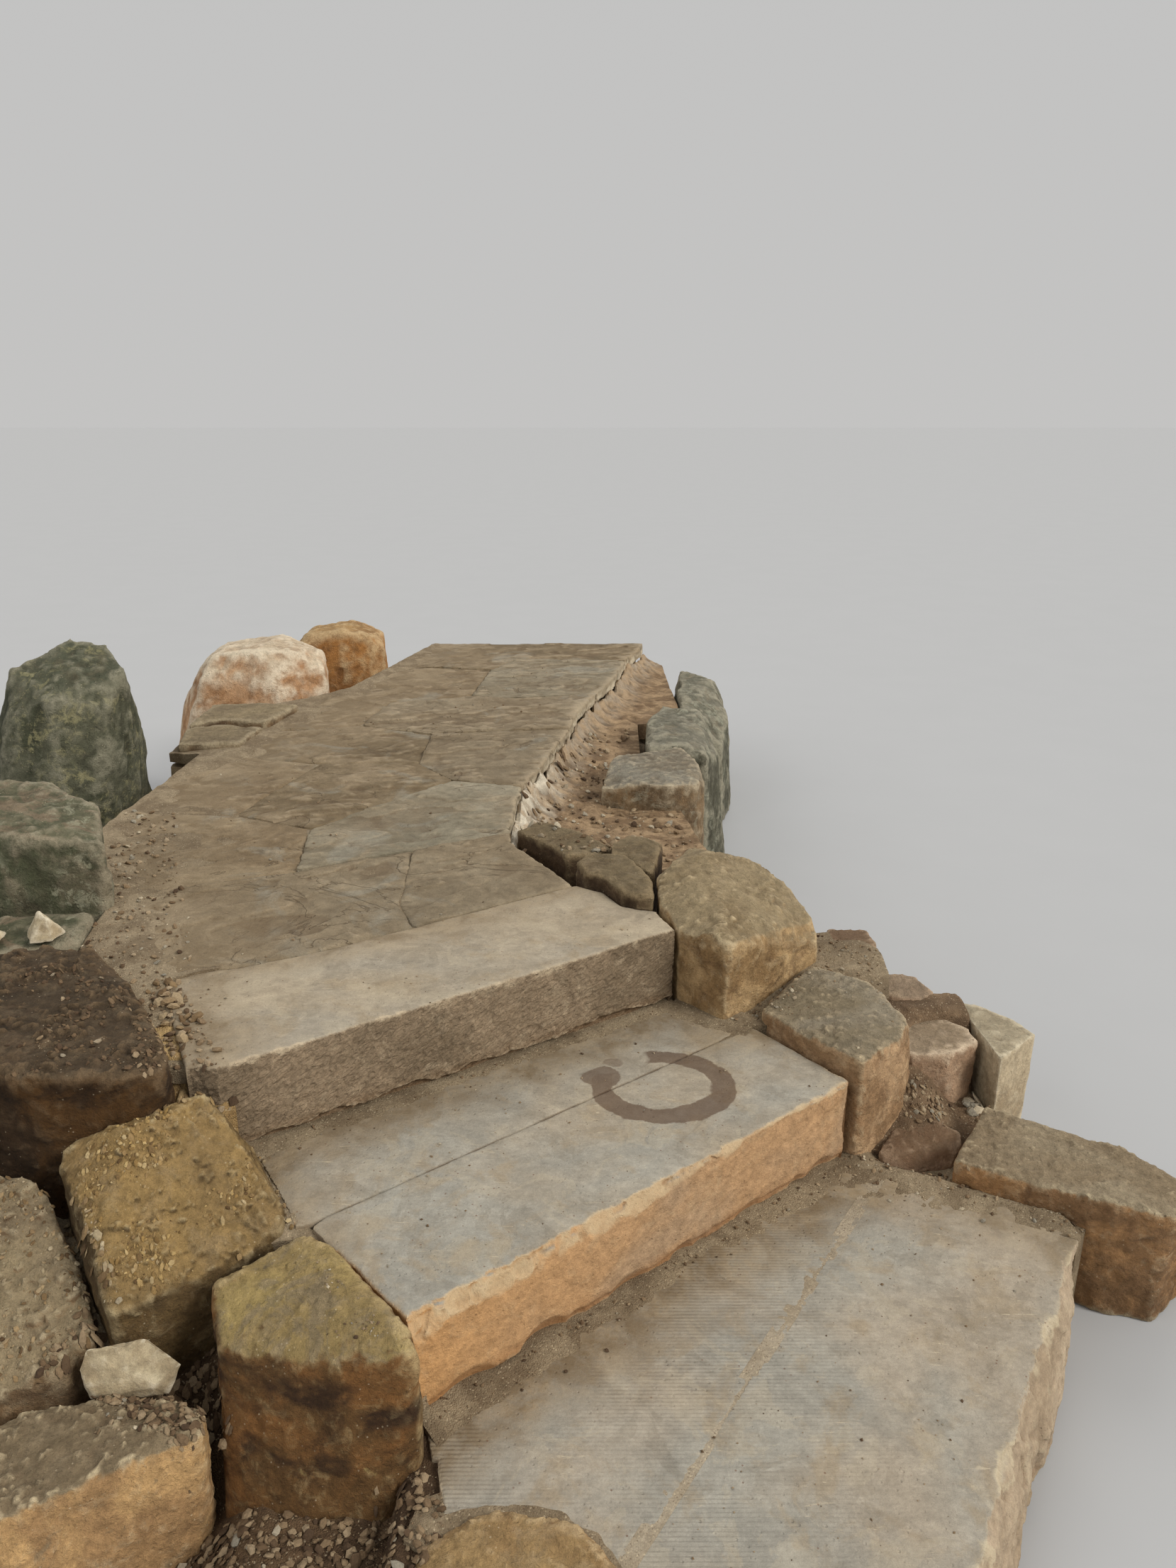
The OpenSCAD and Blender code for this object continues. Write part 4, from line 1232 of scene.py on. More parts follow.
def make_grains(name, mat, seed):
    r = np.random.default_rng(seed)
    V, F, T, base = [], [], [], 0
    for kind, (bv, bf) in {"ico": (ICO, ICO_F), "oct": (OCT, OCT_F)}.items():
        g = np.array(GRAINS[kind])
        if not len(g):
            continue
        n = len(g)
        k = len(bv)
        v = bv[None] * r.uniform(0.72, 1.25, (n, k, 1))
        v = v * np.stack([r.uniform(0.8, 1.25, n), r.uniform(0.65, 1.0, n), r.uniform(0.45, 0.8, n)], 1)[:, None, :]
        tx, ty = r.normal(0, 0.25, n), r.normal(0, 0.25, n)
        v[:, :, 2] += v[:, :, 0] * tx[:, None] + v[:, :, 1] * ty[:, None]
        an = r.uniform(0, 2 * math.pi, n)
        c, s = np.cos(an)[:, None], np.sin(an)[:, None]
        v = np.stack([v[:, :, 0] * c - v[:, :, 1] * s, v[:, :, 0] * s + v[:, :, 1] * c, v[:, :, 2]], 2)
        up = g[:, 3:6]
        # lean with the surface
        v[:, :, 2] -= (v[:, :, 0] * up[:, 0:1] + v[:, :, 1] * up[:, 1:2]) / np.maximum(up[:, 2:3], 0.4) * 0.8
        v = v * (g[:, 6] / 2)[:, None, None]
        pos = g[:, :3] + up * (g[:, 6] / 2 * (0.62 - g[:, 8]))[:, None]
        V.append((v + pos[:, None, :]).reshape(-1, 3))
        F.append((bf[None] + (np.arange(n) * k)[:, None, None]).reshape(-1, 3) + base)
        T.append(np.repeat(g[:, [7, 9]], k, axis=0))
        base += n * k
    ob = build(name, np.concatenate(V), np.concatenate(F))
    me = ob.data
    me.materials.append(mat)
    T = np.concatenate(T)
    attribute(me, "tone", T[:, 0])
    attribute(me, "warm", T[:, 1])
    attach(ob, "root")
    PIECES.append(ob)
    return ob


# ------------------------------------------------------------------ stage and light
def stage():
    me = bpy.data.meshes.new("floor")
    s = 60.0
    me.from_pydata([(-s, -s, -0.001), (s, -s, -0.001), (s, s, -0.001), (-s, s, -0.001)], [], [(0, 1, 2, 3)])
    fl = new_object("floor", me)
    k = Mat("floor_paint")
    fine = k.noise(k.co, 3.0, 3)
    k.finish(k.mix(fine, lin(174, 175, 176), lin(171, 172, 173)), 0.95, None, 0.0)
    me.materials.append(k.m)
    w = bpy.data.worlds.new("studio")
    bpy.context.scene.world = w
    w.use_nodes = True
    t = w.node_tree
    bg = t.nodes["Background"]
    tc = t.nodes.new("ShaderNodeTexCoord")
    sep = t.nodes.new("ShaderNodeSeparateXYZ")
    t.links.new(tc.outputs["Generated"], sep.inputs[0])
    rp = t.nodes.new("ShaderNodeValToRGB")
    rp.color_ramp.elements[0].position = 0.0
    rp.color_ramp.elements[0].color = (1.0, 0.992, 0.978, 1)
    rp.color_ramp.elements[1].position = 0.9
    rp.color_ramp.elements[1].color = (0.97, 0.975, 0.98, 1)
    t.links.new(sep.outputs[2], rp.inputs[0])
    t.links.new(rp.outputs[0], bg.inputs[0])
    bg.inputs[1].default_value = 0.55

    def sun(name, loc, look, spread, power, colour):
        """A soft studio light far off, so that the floor is lit evenly."""
        d = bpy.data.lights.new(name, "SUN")
        d.angle = math.radians(spread)
        d.energy = power
        d.color = colour
        o = bpy.data.objects.new(name, d)
        bpy.context.scene.collection.objects.link(o)
        o.location = loc
        o.rotation_mode = "QUATERNION"
        o.rotation_quaternion = (Vector(look) - Vector(loc)).to_track_quat("-Z", "Y")
        return o
    sun("key", (4.6, -3.2, 3.9), (0.1, -0.8, 0.3), 24, 2.55, (1.0, 0.96, 0.90))
    sun("fill", (-4.2, -3.6, 3.6), (0.0, -0.8, 0.3), 40, 0.62, (1.0, 0.98, 0.95))
    sun("back", (1.5, 5.8, 4.2), (0.0, 0.9, 0.4), 35, 0.88, (1.0, 0.98, 0.95))
    sc = bpy.context.scene
    sc.view_settings.view_transform = "Standard"
    sc.view_settings.look = "None"
    sc.view_settings.exposure = 0.0


stage()

# ------------------------------------------------------------------ finishes
m_step1 = sandstone("sawn_step_1", lin(146, 142, 131), lin(155, 144, 127), lin(174, 155, 131), lin(156, 137, 113),
                    lin(188, 174, 146), ripple=1.0, seed=1, face_pale=0.4)
m_step2 = sandstone("sawn_step_2", lin(147, 143, 132), lin(151, 140, 122), lin(182, 146, 108), lin(170, 142, 112),
                    lin(190, 168, 134), ring=True, seed=2, left=(lin(196, 148, 94), -0.05, 0.55),
                    foot_shade_and_dust_col=lin(150, 104, 62))
m_step3 = sandstone("sawn_step_3", lin(150, 141, 125), lin(156, 143, 122), lin(149, 130, 106), lin(130, 113, 91),
                    lin(192, 174, 146), seed=3, strokes=0.9, face_pale=0.4)
m_flag_a = riven("riven_brown", lin(102, 86, 64), lin(122, 105, 81), lin(146, 130, 104), 1, 0.52)
m_flag_b = riven("riven_tan", lin(106, 93, 73), lin(125, 112, 91), lin(146, 133, 110), 2, 0.38)
m_flag_c = riven("riven_grey", lin(112, 105, 88), lin(132, 124, 105), lin(152, 143, 123), 3, 0.1)
m_flag_d = riven("riven_dark", lin(94, 80, 60), lin(112, 97, 74), lin(136, 120, 96), 4, 0.3)
m_l1 = boulder("stone_olive", lin(160, 140, 90), lin(144, 124, 82), lin(120, 84, 48), lin(98, 72, 43),
               lin(52, 37, 26), lin(190, 168, 124), seed=1, stain_amt=0.5, blotch=lin(116, 106, 92), blotch_amt=0.5,
               dust=0.25, turn=(0.50, 0.82))
# the face colours are darkened to the shade the faces lie in: painted shade over the stone's own yellow-brown
m_l2 = boulder("stone_yellow", lin(150, 124, 80), lin(132, 109, 72), lin(101, 81, 51), lin(83, 67, 44),
               lin(78, 60, 41), lin(184, 166, 128), seed=2, stain_amt=0.3, dust=0.3)
# the whole stone is darkened to the shade it lies in: painted shade over its own dark brown
m_l3 = boulder("stone_brown", lin(76, 63, 47), lin(58, 48, 36), lin(80, 56, 30), lin(56, 41, 26),
               lin(32, 23, 16), lin(116, 96, 72), seed=3, stain_amt=0.6, dust=0.18, blotch=lin(100, 82, 62),
               blotch_amt=0.5)
m_moss = boulder("stone_mossy", lin(102, 99, 78), lin(82, 84, 64), lin(78, 80, 60), lin(108, 100, 81),
                 lin(44, 46, 33), lin(152, 142, 120), lichen=lin(162, 160, 136), lichen_amt=0.6, seed=4,
                 blotch=lin(136, 116, 96), blotch_amt=0.6, dust=0.2)
# darkened to the shade this stone lies in: painted shade over its own grey-green
m_moss2 = boulder("stone_grey_green", lin(94, 94, 77), lin(78, 80, 64), lin(88, 88, 71), lin(68, 70, 54),
                  lin(42, 43, 33), lin(144, 140, 120), lichen=lin(156, 149, 110), lichen_amt=0.6, seed=5, dust=0.2)
# the gritty top is darkened with painted shade and the pale tan face brightened with painted light
m_l6 = boulder("stone_pale_tan", lin(134, 118, 92), lin(118, 103, 80), lin(190, 154, 106), lin(160, 127, 88),
               lin(116, 88, 62), lin(214, 196, 160), seed=6, stain_amt=0.35, dust=0.35)
m_l7 = boulder("stone_gritty", lin(148, 132, 103), lin(128, 113, 89), lin(126, 102, 74), lin(104, 84, 62),
               lin(66, 50, 36), lin(178, 163, 134), seed=7, stain_amt=0.35, dust=0.4)
m_white = boulder("stone_white", lin(182, 170, 142), lin(166, 152, 124), lin(174, 159, 130), lin(156, 140, 112),
                  lin(142, 124, 98), lin(218, 208, 186), seed=8, stain_amt=0.12, dust=0.08, relief=0.0020)
m_bs = boulder("stone_low_orange", lin(154, 128, 88), lin(138, 110, 74), lin(158, 114, 66), lin(132, 96, 60),
               lin(88, 64, 44), lin(190, 166, 128), seed=9, stain_amt=0.35)
m_r1 = boulder("stone_tan_orange", lin(146, 130, 101), lin(128, 111, 83), lin(178, 149, 108), lin(142, 114, 78),
               lin(86, 62, 43), lin(204, 184, 148), seed=10, stain_amt=0.45)
m_r2 = boulder("stone_grey_orange", lin(137, 127, 108), lin(124, 112, 90), lin(184, 152, 116), lin(148, 118, 86),
               lin(98, 72, 52), lin(206, 186, 152), seed=11, stain_amt=0.4)
m_r3 = boulder("stone_pinkish", lin(146, 130, 108), lin(134, 117, 95), lin(178, 148, 120), lin(152, 125, 100),
               lin(112, 88, 70), lin(206, 186, 160), seed=12, stain_amt=0.2, relief=0.004)
m_r4 = boulder("stone_beige", lin(156, 145, 122), lin(142, 130, 107), lin(182, 166, 138), lin(160, 143, 116),
               lin(116, 98, 76), lin(204, 192, 166), seed=13, stain_amt=0.2, relief=0.0035)
m_r7 = boulder("stone_dark_red", lin(152, 134, 112), lin(136, 118, 98), lin(170, 142, 118), lin(144, 118, 94),
               lin(98, 70, 46), lin(176, 152, 126), seed=14, stain_amt=0.2)
m_r8 = boulder("stone_long", lin(146, 132, 108), lin(132, 116, 92), lin(162, 124, 84), lin(132, 102, 72),
               lin(86, 62, 44), lin(196, 180, 148), seed=15, stain_amt=0.4)
# the faces are darkened to the shade under the undercut edge: painted shade over the slab's own brown
m_r9 = boulder("stone_slab", lin(112, 98, 74), lin(96, 80, 58), lin(88, 70, 52), lin(72, 57, 42),
               lin(46, 36, 28), lin(146, 128, 98), seed=16, stain_amt=0.5)
m_r10 = boulder("stone_ledge_tan", lin(130, 124, 110), lin(118, 109, 93), lin(128, 105, 77), lin(106, 88, 66),
                lin(76, 60, 46), lin(182, 168, 142), lichen=lin(172, 168, 146), lichen_amt=0.4, seed=17, stain_amt=0.4)
m_r11 = boulder("stone_ledge_grey", lin(116, 112, 98), lin(98, 96, 82), lin(92, 90, 76), lin(78, 76, 62),
                lin(50, 48, 38), lin(158, 152, 132), lichen=lin(164, 164, 144), lichen_amt=0.5, seed=18)
m_orange = boulder("stone_orange", lin(160, 128, 84), lin(146, 112, 72), lin(164, 116, 66), lin(140, 98, 58),
                   lin(94, 68, 46), lin(196, 170, 130), seed=19, stain_amt=0.35)
m_rubble = rubble("rubble_in_mortar")
m_sand = sand("dust_and_sand", (142, 127, 103), (115, 100, 79))
m_sand2 = sand("yellow_sand", (178, 150, 104), (138, 112, 74), 1.3)
m_tread_dust = sand("tread_dust", (156, 144, 124), (142, 129, 108), 0.6)
m_pale = boulder("stone_pale_pink", lin(206, 190, 164), lin(186, 166, 140), lin(188, 148, 110), lin(160, 120, 84),
                 lin(122, 92, 66), lin(220, 206, 182), seed=20, stain_amt=0.3, dust=0.2)
m_joint = sand("joint_sand", (132, 117, 94), (112, 97, 76))
m_dirt = sand("dark_dirt", (98, 78, 57), (72, 56, 41), 1.6)
m_sand3 = sand("brown_earth", (124, 103, 80), (94, 76, 58), 1.4)
m_gravel = gravel_mat("loose_gravel")

# ------------------------------------------------------------------ the steps
RISER3 = [(-670, 1765), (199, 2327)]
RISER2 = [(-268, 1363), (542, 2014)]


def dust_2(p):
    d, s = to_line(p[:, 0], p[:, 1], [(-660, 1785), (199, 2327), (300, 2235), (372, 2226)])
    e, _ = to_line(p[:, 0], p[:, 1], [(-655, 1800), (-500, 1590), (-440, 1540)])
    return 0.9 * step(0.16, 0.03, d + 0.05 * fbm(p / 0.08, 4, 61)) + 0.7 * step(0.10, 0.0, e + 0.04 * fbm(p / 0.07, 3, 62))


def dust_1(p):
    d, s = to_line(p[:, 0], p[:, 1], [(-268, 1380), (560, 2040)])
    e, _ = to_line(p[:, 0], p[:, 1], [(560, 2010), (700, 2000), (780, 1905), (950, 1810)])
    return (0.95 * step(0.20, 0.05, d + 0.06 * fbm(p / 0.09, 4, 63))
            + 0.85 * step(0.20, 0.03, e + 0.06 * fbm(p / 0.09, 4, 64)))


def dust_3(p):
    d, s = to_line(p[:, 0], p[:, 1], [(-670, 1765), (-890, 2110), (-400, 2340), (-30, 2572)])
    return 0.8 * step(0.14, 0.0, d + 0.07 * fbm(p / 0.10, 4, 65))


def foot_2(p, z0, z1):
    """broad hollows along the foot of the second riser"""
    a3, b3 = at(*RISER2[0]), at(*RISER2[1])
    t = (b3 - a3) / np.linalg.norm(b3 - a3)
    n3 = np.array([t[1], -t[0], 0.0])
    for (s, R, dp, dn) in ((0.09, 0.13, 0.024, 0.034), (0.245, 0.09, 0.028, 0.020), (0.31, 0.045, 0.016, 0.006),
                           (0.43, 0.16, 0.026, 0.050), (0.555, 0.05, 0.020, 0.008), (0.60, 0.035, 0.014, 0.004),
                           (0.73, 0.12, 0.024, 0.036), (0.86, 0.045, 0.016, 0.006), (0.93, 0.08, 0.020, 0.018)):
        c = a3 + t * s * 1.04 + n3 * (R - dp)
        c[2] = z0 - dn
        scoop(p, c, R)


def lean_1(p, z0, z1):
    """the first step's split faces swell outwards below the arris"""
    move = np.zeros_like(p)
    for (a, b, amount, lo, hi) in (((400, 890), (950, 1788), 0.036, (-0.2, -0.1), (1.0, 0.84)),
                                   ((52, 1108), (400, 890), 0.030, (0.02, 0.30), (1.2, 1.1))):
        a3, b3 = at(*a), at(*b)
        t = b3 - a3
        ln = np.linalg.norm(t)
        t /= ln
        n3 = np.array([t[1], -t[0], 0.0])
        o = (p - a3) @ n3
        al = ((p - a3) @ t) / ln
        w = step(-0.055, -0.010, o) * step(lo[0], lo[1], al) * step(hi[0], hi[1], al)
        move += np.outer(amount * w, n3)
    dz = np.maximum(z1 - p[:, 2] - 0.004, 0)
    g = (1 - np.exp(-dz / 0.055)) * (0.9 + 0.34 * fbm(p / 0.10, 3, 140) + 0.10 * fbm(p / 0.04, 2, 141))
    p += move * g[:, None]


block("step_1_front_block", 0.0040, 84000, m_step1, 101,
      [((52, 1108), (400, 890), 1.0), ((400, 890), (950, 1788), 1.0), ((930, 1843), (890, 1857), 0.5),
       ((950, 1788), (930, 1843), 0.6)],
      relief=(0.010, 0.13, 0.0055, 0.040, 0.0026), arris=(18, 0.002, 0.008), extra=lean_1, dust=dust_1, push=0.0058, heel=0.004,
      joint_wear=0.2, joint_shade=0.25,
      deep=((640, 1282, 200, 0.10, 0.018, 0.7, 1, -0.6), (800, 1543, 200, 0.10, 0.011, 0.7, 1, -0.6),
            (520, 1086, 200, 0.12, 0.015, 0.6, 1, -0.6), (905, 1715, 200, 0.08, 0.008, 0.8, 1, -0.6)))
block("step_1_back_block", 0.0044, 40000, m_step1, 102,
      [((-232, 1300), (-212, 1190), 0.8)], relief=(0.006, 0.09, 0.003, 0.036, 0.0014),
      arris=(14, 0.002, 0.007), dust=dust_1, push=0.0058, joint_wear=0.2, joint_shade=0.25)
block("step_2_front_block", 0.0038, 94000, m_step2, 103,
      [((-418, 1525), (-268, 1363), 0.8), ((-268, 1363), (542, 2014), 1.0), ((542, 2014), (372, 2226), 0.7)],
      relief=(0.0045, 0.16, 0.0018, 0.040, 0.0018), arris=(34, 0.0012, 0.0065), arris_r=(0.014, 0.05), band=((-268, 1363), (542, 2014), 42, 3),
      extra=foot_2, dust=dust_2, push=0.0024, heel=0.006, joint_wear=0.25,
      deep=((330, 1843, 390, 0.050, 0.006, 0.7, 0.6, -0.75), (356, 1864, 390, 0.035, 0.007, 0.5, 0.6, -0.75),
            (378, 1882, 390, 0.045, 0.007, 0.7, 0.6, -0.75), (404, 1903, 390, 0.035, 0.006, 0.6, 0.6, -0.75),
            (428, 1922, 390, 0.050, 0.008, 0.7, 0.6, -0.75), (462, 1949, 390, 0.040, 0.007, 0.6, 0.6, -0.75),
            (290, 1811, 390, 0.045, 0.005, 0.7, 0.6, -0.75), (500, 1980, 390, 0.040, 0.005, 0.6, 0.6, -0.75)))
block("step_2_back_block", 0.0048, 32000, m_step2, 104,
      [((-652, 1815), (-503, 1582), 0.5)], relief=(0.006, 0.09, 0.003, 0.036, 0.0012), arris=(10, 0.002, 0.006),
      dust=dust_2, push=0.0024, joint_wear=0.25)
block("step_3_block", 0.0038, 100000, m_step3, 105,
      [((-725, 1772), (-670, 1765), 1.0), ((-670, 1765), (199, 2327), 1.0), ((199, 2327), (162, 2424), 0.6)],
      relief=(0.0042, 0.16, 0.0020, 0.030, 0.0030), arris=(10, 0.001, 0.004), dust=dust_3, heel=0.014,
      deep=((-640, 1784, 580, 0.035, 0.006, 0.7, 0.5, -0.8), (-615, 1801, 580, 0.030, 0.008, 0.6, 0.5, -0.8),
            (-570, 1830, 580, 0.040, 0.007, 0.6, 0.5, -0.8), (-545, 1846, 580, 0.030, 0.006, 0.6, 0.5, -0.8),
            (-395, 1943, 580, 0.045, 0.007, 0.7, 0.5, -0.8), (-365, 1962, 580, 0.035, 0.007, 0.6, 0.5, -0.8),
            (-180, 2082, 580, 0.045, 0.006, 0.7, 0.5, -0.8)))

# ------------------------------------------------------------------ the side stones
def dark_band(p, n):
    """iron-dark bands across the face, under the pale top edge"""
    f = fbm(p / np.array([0.10, 0.10, 0.05]), 3, 41)
    b = step(0.050, 0.018, np.abs(p[:, 2] - 0.300 + 0.022 * fbm(p / 0.09, 2, 42)))
    s = step(0.030, 0.012, np.abs(p[:, 2] - 0.215 + 0.015 * fbm(p / 0.07, 2, 43))) * step(0.05, 0.25, f)
    return (b * step(-0.25, 0.05, f) + 0.8 * s) * step(0.55, 0.25, n[:, 2]) * 0.92


far = dict(chip=(0.002, 0.009), chip_r=(0.08, 0.25), rough=0.004, bumps=0.004)
small = dict(chips=6, chip=(0.0006, 0.003), chip_r=(0.02, 0.07), cells=(0.0026, 0.09, 0.0014, 0.032), big=0.0015,
             rough=0.0014, bumps=0.002)
rock("left_boulder_by_step_2", 0.0044, 44000, m_l1, 201, soft=6, weather=0.2, bumps=0.0022, mark=dark_band, grow=0.013,
     big=0.007, chips=0)
rock("left_boulder_by_step_3", 0.0046, 46000, m_l2, 202, soft=6, weather=0.3, bumps=0.0045, rough=0.003, grow=0.008, chips=0)
rock("left_boulder_by_landing", 0.0058, 38000, m_l3, 203, soft=4, weather=0.2, bumps=0.0065, rough=0.0044, layers=0.0016,
     grow=0.005, big=0.008, chips=1)
rock("left_mossy_boulder_front", 0.0080, 22000, m_moss, 204, soft=3, cells=(0.010, 0.24, 0.004, 0.08), **far)
rock("left_mossy_boulder_back", 0.0100, 16000, m_moss2, 205, soft=4, big=0.012, cells=(0.012, 0.35, 0.004, 0.12), **far)
rock("left_corner_boulder", 0.0046, 38000, m_l6, 206, soft=4, bumps=0.0045, weather=0.2, grow=0.005, rough=0.0034, layers=0.0014,
     flow=(0.3, 0.5, 0.9))
rock("left_flat_boulder", 0.0052, 34000, m_l7, 207, soft=4, bumps=0.0050, rough=0.003)
rock("left_base_stone", 0.0090, 5000, m_moss, 208, soft=2)
rock("left_pale_boulder", 0.0110, 9000, m_pale, 209, soft=3, cells=(0.014, 0.35, 0.004, 0.13), **far)
rock("left_orange_boulder", 0.0110, 8000, m_orange, 210, soft=3, cells=(0.012, 0.33, 0.004, 0.12), **far)
rock("left_edge_flats", 0.0080, 5000, m_l7, 211, soft=1, layers=0.002, **small)


def flakes(node, mat, seed, target=8000, worn=0.0028, rough=0.0016, grow=0.0, edge=0.007, marks=0.0):
    """Broken angular stones: the planes stay flat and only the arrises are worn."""
    ob = cad_copy(node, node + "_look")
    modify(ob, "BEVEL", width=worn, segments=2, limit_method="ANGLE", angle_limit=math.radians(12))
    modify(ob, "TRIANGULATE")
    for _ in range(4):
        bm = bmesh.new()
        bm.from_mesh(ob.data)
        long = [e for e in bm.edges if e.calc_length() > edge * COARSE]
        if long:
            bmesh.ops.subdivide_edges(bm, edges=long, cuts=2)
            bmesh.ops.triangulate(bm, faces=bm.faces[:])
        bm.to_mesh(ob.data)
        bm.free()
    me = ob.data
    lo, hi = np.array(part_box(node)[0]), np.array(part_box(node)[1])
    p, n = coords(me), normals(me)
    d = grow + rough * fbm(p / 0.035, 3, seed) + rough * facets(p / 0.03, seed + 1) + rough * facets(p / 0.09, seed + 2)
    if marks:
        # upright tool marks on the sides
        d += marks * fbm(p / np.array([0.010, 0.010, 0.070]), 3, seed + 3) * step(0.6, 0.3, np.abs(n[:, 2]))
    p += n * d[:, None]
    p = np.clip(p, lo - 0.006, hi + 0.006)
    p[:, 2] = np.maximum(p[:, 2], 0.0)
    set_coords(me, p)
    thin(ob, target)
    me = ob.data
    common_attributes(ob, 0.0022, 3)
    p, n = coords(me), normals(me)
    attribute(me, "mark", np.zeros(len(p)))
    attribute(me, "up", np.clip(n[:, 2], 0, 1))
    attribute(me, "low", np.zeros(len(p)))
    return done(ob, node, mat, 30)


flakes("left_small_stones", m_white, 212, worn=0.0022, rough=0.0028)
rock("front_low_stone", 0.0046, 14000, m_bs, 213, soft=5, bumps=0.003, grow=0.012)
rock("right_corner_boulder", 0.0052, 42000, m_r1, 214, soft=3, weather=0.1, cells=(0.008, 0.18, 0.0036, 0.05))
rock("right_curb_boulder", 0.0048, 38000, m_r2, 215, soft=4, grow=0.006)
flakes("right_wedge_stone", m_r3, 216, 11000, 0.005, 0.0018, 0.001, edge=0.011)
flakes("right_square_stone", m_r4, 217, 12000, 0.005, 0.0018, 0.001, edge=0.011, marks=0.0012)


def which_stone(p, n):
    """the low stone is dark red-brown, the block beside the landing dark, the one between them pinkish"""
    dd = p[:, 1] - SHIFT[1]
    return 0.72 * step(2.25, 2.20, dd) * (1 - 0.55 * step(0.50, 0.10, n[:, 2])) + 0.6 * step(2.50, 2.54, dd)


rock("right_small_stones", 0.0046, 16000, m_r7, 218, soft=2, mark=which_stone, **small)
rock("right_long_slab", 0.0048, 36000, m_r8, 219, soft=4, grow=0.004)
rock("ledge_slabs", 0.0056, 12000, m_r9, 220, soft=1, layers=0.0022, **small)
rock("ledge_boulder_front", 0.0070, 16000, m_r10, 221, soft=3)
rock("ledge_boulder_middle", 0.0100, 8000, m_r11, 222, soft=3, cells=(0.010, 0.28, 0.0035, 0.11), **far)
rock("ledge_boulder_back", 0.0110, 7000, m_r11, 223, soft=3, cells=(0.010, 0.28, 0.0035, 0.11), **far)

# ------------------------------------------------------------------ the landing
FLAG_MAT = {1: m_flag_b, 2: m_flag_b, 3: m_flag_a, 4: m_flag_c, 5: m_flag_d, 6: m_flag_a, 7: m_flag_b, 8: m_flag_d,
            9: m_flag_b, 10: m_flag_a, 11: m_flag_c, 12: m_flag_d}
for i in range(1, 13):
    node = "landing_flag_%02d" % i
    near = i in (1, 2, 3, 4)
    flagstone(node, 0.0052 if near else 0.0075, 13000 if near else 6000, FLAG_MAT[i], 300 + i, 0.52 if i < 4 else 0.25)

bed("step_2_bed", 0.014, 3000, m_rubble, 401)
bed("step_3_bed", 0.014, 3000, m_rubble, 402)
bed("landing_bed", 0.014, 20000, m_rubble, 403)
bed("rubble_ledge", 0.012, 10000, m_rubble, 404)

# ------------------------------------------------------------------ sand in the joints and corners
shrunk = [(x - 14, d) for (x, d) in RIGHT_EDGE[1:]]
heightfield("joint_sand", [(-880, 2100), (-730, 2146), (-560, 2231), (-400, 2336), (-60, 2552)] + shrunk
            + [(x + 12, d) for (x, d) in LEFT_EDGE[::-1][:-1]],
            lambda x, y: 0.5715 + 0.0028 * fbm(xy3(x, y) / 0.06, 3, 71) + 0.002 * fbm(xy3(x, y) / 0.4, 2, 72),
            0.548, 0.014, 18000, m_joint)


def left_margin_z(x, y):
    q = xy3(x, y)
    d, _ = to_line(x, y, LEFT_EDGE)
    ins = inside(x, y, LEFT_EDGE + [(275, 5450), (-200, 3330), (-30, 2572), (-400, 2340)])
    s = np.where(ins, d, -d)
    z = 0.5835 - 0.014 * step(-0.03, 0.10, s + 0.09 * fbm(q / 0.18, 4, 73)) - 0.02 * step(-0.04, -0.30, s)
    return z + 0.005 * fbm(q / 0.06, 4, 74) * step(0.12, 0.0, s)


heightfield("left_margin_sand",
            [(-700, 1785), (-770, 1785), (-940, 2055), (-1050, 2150), (-1115, 2236), (-1135, 2440), (-1240, 2690),
             (-1360, 2880), (-1350, 3110), (-1320, 3380), (-1310, 3650), (-1435, 3705), (-1435, 4225), (-1120, 4380),
             (-980, 4560), (-860, 5000), (-745, 5440), (-600, 5440), (-700, 4960), (-820, 4560), (-920, 4300),
             (-1000, 3920), (-1040, 3640), (-1170, 3370), (-1170, 3100), (-1130, 2860), (-1010, 2680), (-920, 2480),
             (-840, 2300), (-780, 2150), (-860, 2090), (-720, 1800)],
            left_margin_z, 0.535, 0.009, 16000, m_sand)

heightfield("left_heap", [(-800, 1690), (-690, 1730), (-640, 1762), (-668, 1800), (-700, 1850), (-850, 2090), (-900, 2090),
                          (-800, 1800)],
            lambda x, y: 0.497 + 0.072 * step(1.765, 1.825, y - SHIFT[1]) - 0.045 * step(1.765, 1.70, y - SHIFT[1])
            + 0.008 * fbm(xy3(x, y) / 0.035, 4, 75) + 0.008 * facets(xy3(x, y) / 0.035, 76), 0.30, 0.006, 6000, m_sand2)


def drift(name, line, width, high, z, seed, target=7000, mat=None, more=None):
    """Sand banked against the foot of a riser."""
    pts = [at(*q)[:2] for q in line]
    t = (pts[-1] - pts[0]) / np.linalg.norm(pts[-1] - pts[0])
    n2 = np.array([t[1], -t[0]])
    k = 1000.0

    def mm(v):
        return tuple((v - SHIFT[:2]) * k)
    poly = [mm(pts[0] - n2 * 0.03), mm(pts[0] + n2 * width), mm(pts[-1] + n2 * width), mm(pts[-1] - n2 * 0.03)]

    def zf(x, y):
        q = xy3(x, y)
        s = (np.stack([x, y], 1) - pts[0]) @ n2
        al = ((np.stack([x, y], 1) - pts[0]) @ t) / np.linalg.norm(pts[-1] - pts[0])
        h = high * (0.75 + 0.9 * fbm(q / 0.16, 3, seed)) * np.maximum(0, 1 - np.maximum(s, 0) / (width * 0.85)) ** 1.4
        if more is not None:
            h = h * more(al)
        return z / k + np.maximum(h, 0) - 0.0030 + 0.0016 * fbm(q / 0.03, 4, seed + 3)
    return heightfield(name, poly, zf, z / k - 0.008, 0.0055, target, mat or m_sand)


